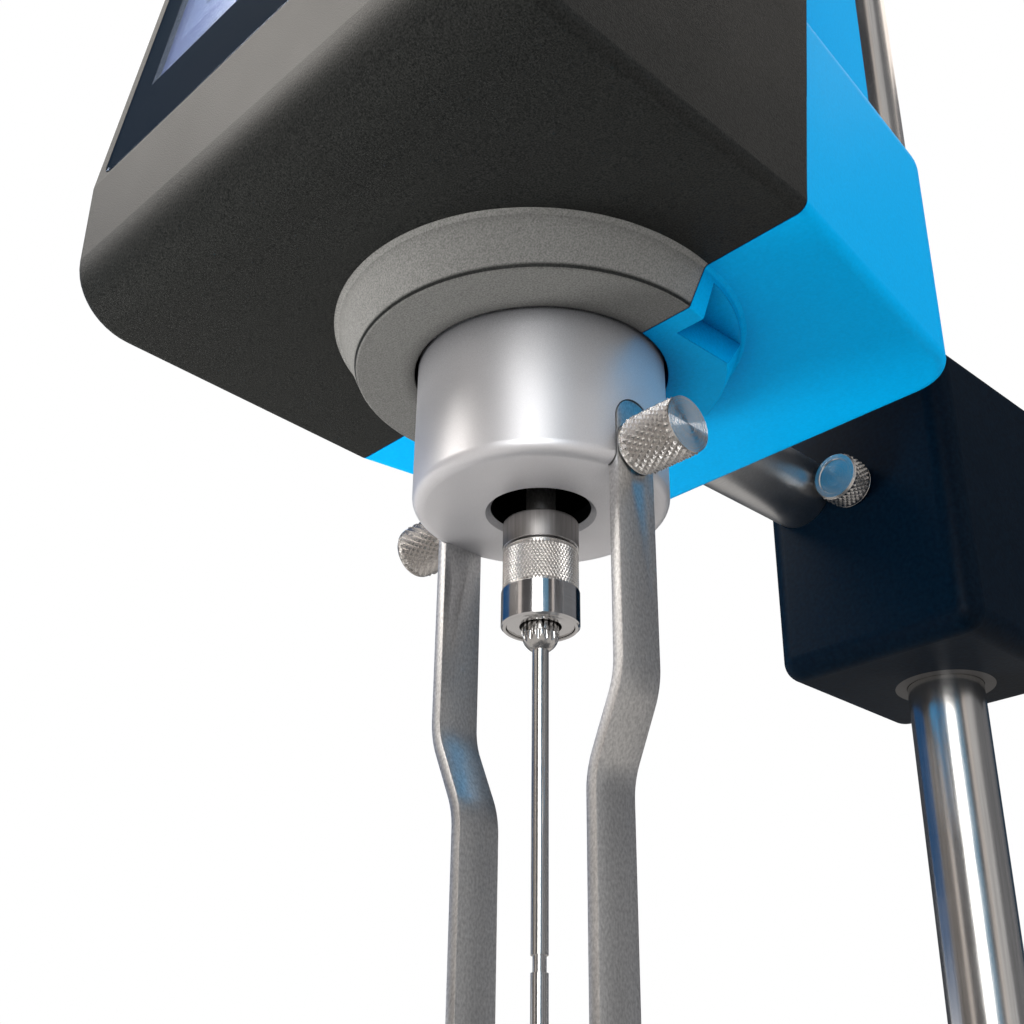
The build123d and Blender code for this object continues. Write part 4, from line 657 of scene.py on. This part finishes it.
def grow(piece, height, rings, close=True):
    """Extrudes the open ring at a height through (radius, height) rings, in mm, and caps the last."""
    pick(piece, lambda co: abs(co.z - height * MM) < SAME_PLACE)
    sample = next(v.co for v in piece.data.vertices if v.select)
    radius, level = math.hypot(sample.x, sample.y) / MM, height
    for next_radius, next_level in rings:
        extrude((0, 0, (next_level - level) * MM))
        ratio = next_radius / radius
        bpy.ops.transform.resize(value=(ratio, ratio, 1), center_override=(0, 0, next_level * MM))
        radius, level = next_radius, next_level
    if close:
        bpy.ops.mesh.edge_face_add()
    bpy.ops.object.mode_set(mode="OBJECT")


# %% Knurl a band
def knurled(name, valley, peak, low, high, teeth, rows):
    """An open band of diamond knurling about Z: a cylinder whose every other vertex is pulled out.
    valley and peak are radii, low and high are heights, all in mm."""
    deselect()
    bpy.ops.mesh.primitive_cylinder_add(
        vertices=2 * teeth, radius=valley * MM, depth=(high - low) * MM, end_fill_type="NOTHING",
        location=(0, 0, (low + high) / 2 * MM),
    )
    piece = bpy.context.object
    piece.name = name
    bpy.ops.object.transform_apply(location=True)
    pick_edges(piece, lambda a, b: abs(a.z - b.z) > MM / 100)
    bpy.ops.mesh.subdivide(number_cuts=rows - 1)
    bpy.ops.object.mode_set(mode="OBJECT")
    step = (high - low) / rows

    def peaks(co):
        row = round((co.z / MM - low) / step)
        column = round(math.atan2(co.x, co.y) * teeth / math.pi)
        return 0 < row < rows and (row + column) % 2 == 1

    pick(piece, peaks)
    ratio = peak / valley
    bpy.ops.transform.resize(value=(ratio, ratio, 1), center_override=(0, 0, 0))
    bpy.ops.mesh.select_all(action="SELECT")
    bpy.ops.mesh.quads_convert_to_tris(quad_method="SHORTEST_DIAGONAL")
    bpy.ops.object.mode_set(mode="OBJECT")
    return piece


# %% Finish a piece
SMOOTH_TURNED = math.radians(28)


def stand_for(piece, node, material=None):
    """Lets a piece stand for a CAD node, on its body and in its slot."""
    piece.data.materials.clear()
    piece.data.materials.append(finish[material or slot_of[node]])
    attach(piece, bodies[node])
    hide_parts(node)
    print(piece.name, len(piece.data.polygons), "faces")


def partly(piece, material, wanted):
    """A second finish on the faces that pass a test."""
    piece.data.materials.append(finish[material])
    for face in piece.data.polygons:
        face.material_index = int(wanted(face))


def done(piece, node, where, turn=(0, 0, 0)):
    """Closes a turned piece, keeps its profile for the lathe rings, moves it to its place and lets
    it stand for a CAD node."""
    pick(piece, lambda co: True)
    bpy.ops.mesh.remove_doubles(threshold=SAME_PLACE)
    bpy.ops.mesh.normals_make_consistent(inside=False)
    bpy.ops.object.mode_set(mode="OBJECT")
    profile = piece.data.attributes.new("profile", "FLOAT", "POINT")
    for i, vertex in enumerate(piece.data.vertices):
        profile.data[i].value = vertex.co.z - math.hypot(vertex.co.x, vertex.co.y)
    bpy.ops.object.shade_smooth_by_angle(angle=SMOOTH_TURNED)
    piece.rotation_euler = turn
    piece.location = where
    bpy.ops.object.transform_apply(location=True, rotation=True)
    stand_for(piece, node, "turned_steel")


def middle_of(node):
    """The middle of a CAD node's box."""
    low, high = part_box(node)
    return (low + high) / 2


# %% [markdown]
# ## Knurled thumb screws
# Two screws hold the guard leg. The real ones are turned from stainless bar: a coarse diamond knurl
# runs to within a chamfer of each end, and the end face shows the tool's fine rings, which catch the
# light as a fan. The knurl is real geometry, because a bump would leave the outline smooth.

# %% Thumb screws
THUMB_RADIUS, THUMB_VALLEY, THUMB_LENGTH = 6.0, 5.25, 13.0
THUMB_SHANK, THUMB_REACH = 2.0, 6.0
THUMB_LOW, THUMB_HIGH = 0.5, 12.6
for side, node in ((-1, "guard_screw_left"), (1, "guard_screw_right")):
    screw = knurled(
        node + "_knurled", THUMB_VALLEY, THUMB_RADIUS, THUMB_LOW, THUMB_HIGH, teeth=26, rows=11
    )
    grow(screw, THUMB_HIGH, [(5.7, 12.7), (5.65, THUMB_LENGTH), (0.1, THUMB_LENGTH)])
    grow(screw, THUMB_LOW, [(5.6, 0.35), (5.4, 0.0), (THUMB_SHANK, 0.0), (THUMB_SHANK, -THUMB_REACH)])
    low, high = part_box(node)
    outer = high.x if side > 0 else low.x
    seat = Vector((outer - side * THUMB_LENGTH * MM, SPINDLE.y, middle_of(node).z))
    done(screw, node, seat, (0, side * math.pi / 2, 0))
    partly(screw, "faced_steel", lambda face: side * (face.center.x - outer) > -MM / 10)

# %% [markdown]
# ## Clamp screws of the stand
# The screw on the front of the clamp block holds its height on the column, and the larger one on top
# locks the rod. Both are knurled like the thumb screws, so the same helper makes them. The shallow
# dish in each head is a guess, because the photograph shows only a blurred bright disc.

# %% Clamp screws
CLAMP_HEAD, LOCK_HEAD = 8.0, 11.0
CLAMP_LOW, CLAMP_HIGH = 0.9, 7.1
LOCK_LOW, LOCK_HIGH = 0.9, 9.9

node = "column_clamp_screw"
low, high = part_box(node)
shank = CLAMP_HEAD - (high.y - low.y) / MM
screw = knurled(
    node + "_knurled", valley=6.3, peak=6.8, low=CLAMP_LOW, high=CLAMP_HIGH, teeth=30, rows=6
)
grow(screw, CLAMP_HIGH, [(6.5, 7.3), (6.1, CLAMP_HEAD), (4.9, CLAMP_HEAD), (4.7, 7.7), (0.1, 7.7)])
grow(screw, CLAMP_LOW, [(6.4, 0.7), (5.9, 0.0), (4.0, 0.0), (4.0, shank)])
seat = middle_of(node)
done(screw, node, Vector((seat.x, low.y + CLAMP_HEAD * MM, seat.z)), (math.pi / 2, 0, 0))

node = "rod_lock_screw"
low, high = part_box(node)
shank = LOCK_HEAD - (high.z - low.z) / MM
screw = knurled(
    node + "_knurled", valley=7.45, peak=8.0, low=LOCK_LOW, high=LOCK_HIGH, teeth=34, rows=8
)
grow(screw, LOCK_HIGH, [(7.7, 10.1), (7.1, LOCK_HEAD), (5.6, LOCK_HEAD), (5.4, 10.6), (0.1, 10.6)])
grow(screw, LOCK_LOW, [(7.6, 0.7), (7.0, 0.0), (3.0, 0.0), (3.0, shank)])
seat = middle_of(node)
done(screw, node, Vector((seat.x, seat.y, high.z - LOCK_HEAD * MM)))

# %% [markdown]
# ## The coupling sleeve
# The sleeve slips down to free the spindle. It has a fine knurl for the fingers above a polished
# ring. The ring and the knurl are one piece of bar, so one mesh carries both, with two materials.

# %% Sleeve
SLEEVE_LOW, SLEEVE_HIGH, RING_TOP = -65.8, -49.2, -58.3
SLEEVE_BORE, RING_RADIUS = 6.8, 7.8
BAND_LOW, BAND_HIGH = RING_TOP + 0.15, SLEEVE_HIGH - 0.5
sleeve = knurled(
    "coupling_sleeve_knurled", valley=7.34, peak=7.62, low=BAND_LOW, high=BAND_HIGH, teeth=66, rows=14
)
top_rings = [
    (7.5, SLEEVE_HIGH - 0.45), (7.5, SLEEVE_HIGH - 0.3), (7.15, SLEEVE_HIGH), (SLEEVE_BORE, SLEEVE_HIGH),
]
grow(sleeve, BAND_HIGH, top_rings, close=False)
low_rings = [
    (7.45, RING_TOP), (7.72, RING_TOP), (RING_RADIUS, RING_TOP - 0.1), (RING_RADIUS, SLEEVE_LOW + 0.45),
    (7.4, SLEEVE_LOW), (SLEEVE_BORE, SLEEVE_LOW), (SLEEVE_BORE, SLEEVE_HIGH),
]
grow(sleeve, BAND_LOW, low_rings, close=False)
done(sleeve, "coupling_sleeve", SPINDLE)
ring_top = SPINDLE.z + (RING_TOP + 0.05) * MM
partly(sleeve, "polished_steel", lambda face: face.center.z < ring_top)

# %% [markdown]
# ## Softened edges
# Sheet and bar never end in a perfect edge: the grinding breaks the corner, and it shows as a bright
# line. A copy of the CAD mesh is merged, its flat faces are joined up, and a narrow bevel is put on
# what stays sharp. The coupling's body is dull with a bright end face, as in the photograph.

# %% Merge and soften
SHARP, SMOOTH_SOFT, BEVEL_STEPS = math.radians(35), math.radians(32), 2
MERGE_NEAR, FLAT_WITHIN = 2e-6, math.radians(0.5)


def soften(piece, width):
    """A narrow bevel, in mm, on every sharp edge, and smooth faces elsewhere."""
    only(piece)
    bevel = piece.modifiers.new("bevel", "BEVEL")
    bevel.width = width * MM
    bevel.segments = BEVEL_STEPS
    bevel.limit_method = "ANGLE"
    bevel.angle_limit = SHARP
    bpy.ops.object.modifier_apply(modifier="bevel")
    bpy.ops.object.shade_smooth_by_angle(angle=SMOOTH_SOFT)


def merged_copy(node):
    """A copy of a CAD node with its triangles merged into flat faces."""
    piece = bpy.data.objects.new(node + "_soft", nodes[node].data.copy())
    scene.collection.objects.link(piece)
    pick(piece, lambda co: True)
    bpy.ops.mesh.remove_doubles(threshold=MERGE_NEAR)
    bpy.ops.mesh.dissolve_limited(angle_limit=FLAT_WITHIN)
    bpy.ops.object.mode_set(mode="OBJECT")
    if "custom_normal" in piece.data.attributes:
        piece.data.attributes.remove(piece.data.attributes["custom_normal"])
    return piece


# %% Bevelled copies
FACES_DOWN = -0.7
for node, width, material in (
    ("coupling_body", 0.25, "dull_steel"),
    ("spindle_disc", 0.3, None),
    ("spindle_hub", 0.08, "drawn_steel"),
):
    piece = merged_copy(node)
    soften(piece, width)
    stand_for(piece, node, material)
    if node == "coupling_body":
        partly(piece, "polished_steel", lambda face: face.normal.z < FACES_DOWN)

# %% [markdown]
# ## Screws of the shell
# Four socket screws pull the rear shell against the front one. Each has a hexagon for the key, cut
# with a six-sided bar, because the recess is what tells a screw from a plug. All four are one mesh,
# and the exact boolean solver crashes on it, so the fast one does the cut.

# %% Hexagon sockets
HEX_ACROSS, HEX_DEEP, SCREW_EDGE = 3.0, 2.0, 0.25
# The height, in metres, between the two lower and the two upper screws.
BETWEEN_ROWS = 0.4


def cut(piece, cutter):
    """Takes one shape out of another and removes the cutter."""
    only(piece)
    hole = piece.modifiers.new("hole", "BOOLEAN")
    hole.operation = "DIFFERENCE"
    hole.solver = "FAST"
    hole.object = cutter
    bpy.ops.object.modifier_apply(modifier="hole")
    bpy.data.objects.remove(cutter)


piece = merged_copy("shell_screws")
screws = {}
for vertex in piece.data.vertices:
    corner = (vertex.co.x > 0, vertex.co.z > BETWEEN_ROWS)
    screws.setdefault(corner, []).append(vertex.co)
for places in screws.values():
    back = max(co.y for co in places)
    x, z = ((min(co[i] for co in places) + max(co[i] for co in places)) / 2 for i in (0, 2))
    deselect()
    bpy.ops.mesh.primitive_cylinder_add(
        vertices=6, radius=HEX_ACROSS / math.sqrt(3) * MM, depth=2 * HEX_DEEP * MM,
        location=(x, back, z), rotation=(math.pi / 2, 0, 0),
    )
    cut(piece, bpy.context.object)
soften(piece, SCREW_EDGE)
stand_for(piece, "shell_screws")

# %% [markdown]
# ## The guard leg
# One strip, cut to length, rounded at its ends and bent on a press: down, in at a jog, down again,
# across under the spindle and back up the same way. The bends have the wide curve that a strip takes
# over a former. Here a rectangle is swept along that path, straight pieces by extrusion and bends by
# spin, and both holes are drilled afterwards, as on the real one.

# %% The path of the strip
STRIP_WIDE, STRIP_THICK, STRIP_EDGE = 10.0, 2.5, 0.3
JOG, JOG_TOP, JOG_LOW = 7.0, -83.0, -99.0
WIDE_BEND, FOOT_BEND, BEND_STEPS = 17.0, 9.0, 8

leg_low, leg_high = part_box("guard_leg")
outer = leg_high.x / MM - STRIP_THICK / 2
top = (leg_high.z - SPINDLE.z) / MM
bottom = (leg_low.z - SPINDLE.z) / MM + STRIP_THICK / 2
half = [(outer, top), (outer, JOG_TOP), (outer - JOG, JOG_LOW), (outer - JOG, bottom)]
corners = [Vector(c) for c in half + [(-x, z) for x, z in reversed(half)]]
bends = [WIDE_BEND, WIDE_BEND, FOOT_BEND, FOOT_BEND, WIDE_BEND, WIDE_BEND]
print("corners of half the leg, in mm:", [(round(x, 1), round(z, 1)) for x, z in half])


# %% Sweep the strip
def in_world(spot):
    """A place in the leg's own plane, in metres in the CAD frame."""
    return Vector((spot.x * MM, SPINDLE.y, SPINDLE.z + spot.y * MM))


deselect()
bpy.ops.mesh.primitive_plane_add(size=1, location=in_world(corners[0]))
leg = bpy.context.object
leg.name = "guard_leg_bent"
leg.scale = (STRIP_THICK * MM, STRIP_WIDE * MM, 1)
bpy.ops.object.transform_apply(location=True, scale=True)
pick(leg, lambda co: True)
here = corners[0]
for i, bend in enumerate(bends):
    before = (corners[i + 1] - corners[i]).normalized()
    after = (corners[i + 2] - corners[i + 1]).normalized()
    turn = math.atan2(before.x * after.y - before.y * after.x, before.dot(after))
    begin = corners[i + 1] - before * bend * math.tan(abs(turn) / 2)
    extrude(in_world(begin) - in_world(here))
    side = math.copysign(1, turn)
    centre = begin + Vector((-before.y, before.x)) * bend * side
    bpy.ops.mesh.spin(steps=BEND_STEPS, angle=turn, center=in_world(centre), axis=(0, 1, 0))
    here = corners[i + 1] + after * bend * math.tan(abs(turn) / 2)
extrude(in_world(corners[-1]) - in_world(here))
bpy.ops.mesh.select_all(action="SELECT")
bpy.ops.mesh.normals_make_consistent(inside=False)
bpy.ops.object.mode_set(mode="OBJECT")
print("swept strip:", len(leg.data.vertices), "vertices before its ends are rounded")

# %% Round the ends and drill the holes
HOLE_PLAY, DRILL_LONG = 0.15, 0.1


def across_the_end(a, b):
    """Whether an edge of the strip runs through its thickness at one of its upper ends."""
    return min(a.z, b.z) > leg_high.z - MM / 10 and abs(a.x - b.x) > MM


pick_edges(leg, across_the_end)
bpy.ops.mesh.bevel(offset=(STRIP_WIDE / 2 - 0.1) * MM, segments=10, affect="EDGES")
deselect()
bpy.ops.mesh.primitive_cylinder_add(
    vertices=48, radius=(THUMB_SHANK + HOLE_PLAY) * MM, depth=DRILL_LONG,
    location=(0, SPINDLE.y, middle_of("guard_screw_left").z), rotation=(0, math.pi / 2, 0),
)
cut(leg, bpy.context.object)
soften(leg, STRIP_EDGE)
stand_for(leg, "guard_leg")

# %% [markdown]
# ## Levelling feet
# Each foot is a disc on a threaded stud, and turning it levels the stand. The disc is knurled for the
# fingers that reach under the base, so the same helper makes it, wider and with fewer rows. The stud
# stays smooth, because it is hidden in the base.

# %% Knurled feet
FOOT_DISC, FOOT_VALLEY, FOOT_RIM, FOOT_HIGH, FOOT_STUD = 14.0, 13.5, 12.9, 6.0, 4.0
TREAD_LOW, TREAD_HIGH = 0.9, 5.1
for node in [n for n in nodes if n.startswith("levelling_foot")]:
    low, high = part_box(node)
    tall = (high.z - low.z) / MM
    foot = knurled(node + "_knurled", FOOT_VALLEY, FOOT_DISC, TREAD_LOW, TREAD_HIGH, teeth=56, rows=4)
    grow(foot, TREAD_HIGH, [(13.4, 5.3), (FOOT_RIM, FOOT_HIGH), (FOOT_STUD, FOOT_HIGH), (FOOT_STUD, tall)])
    grow(foot, TREAD_LOW, [(13.4, 0.7), (FOOT_RIM, 0.0), (0.1, 0.0)])
    seat = middle_of(node)
    done(foot, node, Vector((seat.x, seat.y, low.z)))

# %% [markdown]
# ## What the screen and the switch show
# The screen is lit: a reading in plain figures, two smaller values, two rows of keys and a pale line
# along its lower edge. The photograph shows only a corner with that line, so the rest is a guess. The
# switch has the usual signs for on and off. Letters start as text and become meshes, a hair above the
# face that carries them.

# %% Flat signs
def lay(piece, place, across, up, material, node):
    """Lays a flat piece on a face of a node, with its X and Y along two directions."""
    turn = Matrix((across, up, across.cross(up))).transposed().to_4x4()
    only(piece)
    piece.matrix_world = Matrix.Translation(place) @ turn
    bpy.ops.object.transform_apply(location=True, rotation=True, scale=True)
    piece.data.materials.append(finish[material])
    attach(piece, bodies[node])


def words(name, body, size, place, across, up, material, node):
    """A short text made a mesh, lying on a face of a node."""
    deselect()
    bpy.ops.object.text_add()
    sign = bpy.context.object
    sign.name = name
    sign.data.body = body
    sign.data.size = size * MM
    sign.data.align_x = "CENTER"
    sign.data.align_y = "CENTER"
    bpy.ops.object.convert(target="MESH")
    lay(sign, place, across, up, material, node)


def tile(name, wide, high, place, across, up, material, node):
    """A flat rectangle lying on a face of a node."""
    deselect()
    bpy.ops.mesh.primitive_plane_add(size=MM)
    made = bpy.context.object
    made.name = name
    made.scale = (wide, high, 1)
    bpy.ops.object.transform_apply(scale=True)
    lay(made, place, across, up, material, node)


# %% A place on the screen
LEAN, PANEL_THICK = math.radians(8), 5.0
ACROSS, UPWARD = Vector((1, 0, 0)), Vector((0, math.sin(LEAN), math.cos(LEAN)))
OUTWARD = ACROSS.cross(UPWARD)
TILE_LIFT, INK_LIFT = 0.05, 0.1
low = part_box("display_panel")[0]
panel_foot = Vector((0, low.y, low.z)) + Vector((0, 0, PANEL_THICK * math.sin(LEAN) * MM))
print("the panel's lower front edge is at", [round(c / MM, 1) for c in panel_foot])


def on_screen(x, up, lift):
    """A place on the panel's face: mm from its middle, mm above its lower edge and mm proud of it."""
    return panel_foot + (ACROSS * x + UPWARD * up + OUTWARD * lift) * MM


def field(names, shape, x, up, figures, size):
    """A tile on the screen, and dark figures in its middle."""
    face = (ACROSS, UPWARD)
    tile(names[0], *shape, on_screen(x, up, TILE_LIFT), *face, "display_tile", "display_panel")
    words(names[1], figures, size, on_screen(x, up, INK_LIFT), *face, "display_ink", "display_panel")


# %% The lit screen
# Shapes are (width, height) in mm, and UP is the height of a middle over the panel's lower edge.
LINE, LINE_UP = (106, 3.2), 6.0
READING, READING_UP, READING_SIZE = (96, 44), 112, 30
VALUE, VALUE_UP, VALUE_SIZE, VALUE_LEFT, VALUE_STEP = (46, 22), 74, 13, -25, 50
KEY, KEY_UP, KEY_SIZE, KEY_LEFT, KEY_STEP, KEY_ROW = (21, 17), 47, 10, -37.5, 25, 22
KEYS, KEYS_IN_ROW = 8, 4

line_place = on_screen(0, LINE_UP, TILE_LIFT)
tile("screen_line", *LINE, line_place, ACROSS, UPWARD, "display_line", "display_panel")
field(("screen_reading", "screen_figures"), READING, 0, READING_UP, "128.4", READING_SIZE)
for i, figures in enumerate(("60", "25.0")):
    x = VALUE_LEFT + VALUE_STEP * i
    field((f"screen_field_{i}", f"screen_value_{i}"), VALUE, x, VALUE_UP, figures, VALUE_SIZE)
for i in range(KEYS):
    x, up = KEY_LEFT + KEY_STEP * (i % KEYS_IN_ROW), KEY_UP - KEY_ROW * (i // KEYS_IN_ROW)
    field((f"screen_key_{i}", f"screen_digit_{i}"), KEY, x, up, str(i + 1), KEY_SIZE)
screen = [o for o in scene.objects if o.name.startswith("screen_") and o.name not in nodes]
print("screen pieces:", len(screen))

# %% Signs on the rocker
ROCKER_LEAN = math.radians(16)
SIGN_SIZE, SIGN_LIFT = 4.5, 0.06
level = middle_of("switch_rocker").z
for sign, x, y, lean in (("O", 9.67, 20.49, 0.0), ("I", 17.89, 21.645, ROCKER_LEAN)):
    across = Vector((-math.cos(lean), -math.sin(lean), 0))
    facing = Vector((-math.sin(lean), math.cos(lean), 0))
    spot = Vector((x * MM, y * MM, level)) + facing * SIGN_LIFT * MM
    words("sign_" + sign, sign, SIGN_SIZE, spot, across, Vector((0, 0, 1)), "white_ink", "switch_rocker")
    print("sign", sign, "at", [round(c / MM, 1) for c in spot])

# %% [markdown]
# ## The bubble
# The level on top is a round vial of tinted liquid with a bubble of air under its glass and a printed
# ring that the bubble is brought into. The bubble spreads against the glass, so a sphere is flattened.
# The ring is a thin torus, because a printed line has a little body and catches the light.

# %% Bubble and ring
BUBBLE_RADIUS, BUBBLE_FLAT, BUBBLE_DOWN = 2.3, 0.4, 1.3
MARK_RADIUS, MARK_LINE, MARK_DOWN = 3.4, 0.15, 0.2
middle = middle_of("level_vial")
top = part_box("level_vial")[1].z
deselect()
bpy.ops.mesh.primitive_uv_sphere_add(segments=32, ring_count=16, radius=BUBBLE_RADIUS * MM)
bubble = bpy.context.object
bubble.name = "level_bubble"
bubble.scale = (1, 1, BUBBLE_FLAT)
bubble.location = (middle.x, middle.y, top - BUBBLE_DOWN * MM)
bpy.ops.object.transform_apply(location=True, scale=True)
bpy.ops.object.shade_smooth()
deselect()
bpy.ops.mesh.primitive_torus_add(
    major_radius=MARK_RADIUS * MM, minor_radius=MARK_LINE * MM, major_segments=64, minor_segments=8,
    location=(middle.x, middle.y, top - MARK_DOWN * MM),
)
ring = bpy.context.object
ring.name = "level_ring"
bpy.ops.object.transform_apply(location=True)
# The bubble is painted white with a faint glow: a painted highlight for the light it reflects.
for piece, material in ((bubble, "white_ink"), (ring, "display_ink")):
    piece.data.materials.append(finish[material])
    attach(piece, bodies["level_vial"])
print("bubble", len(bubble.data.polygons), "ring", len(ring.data.polygons))
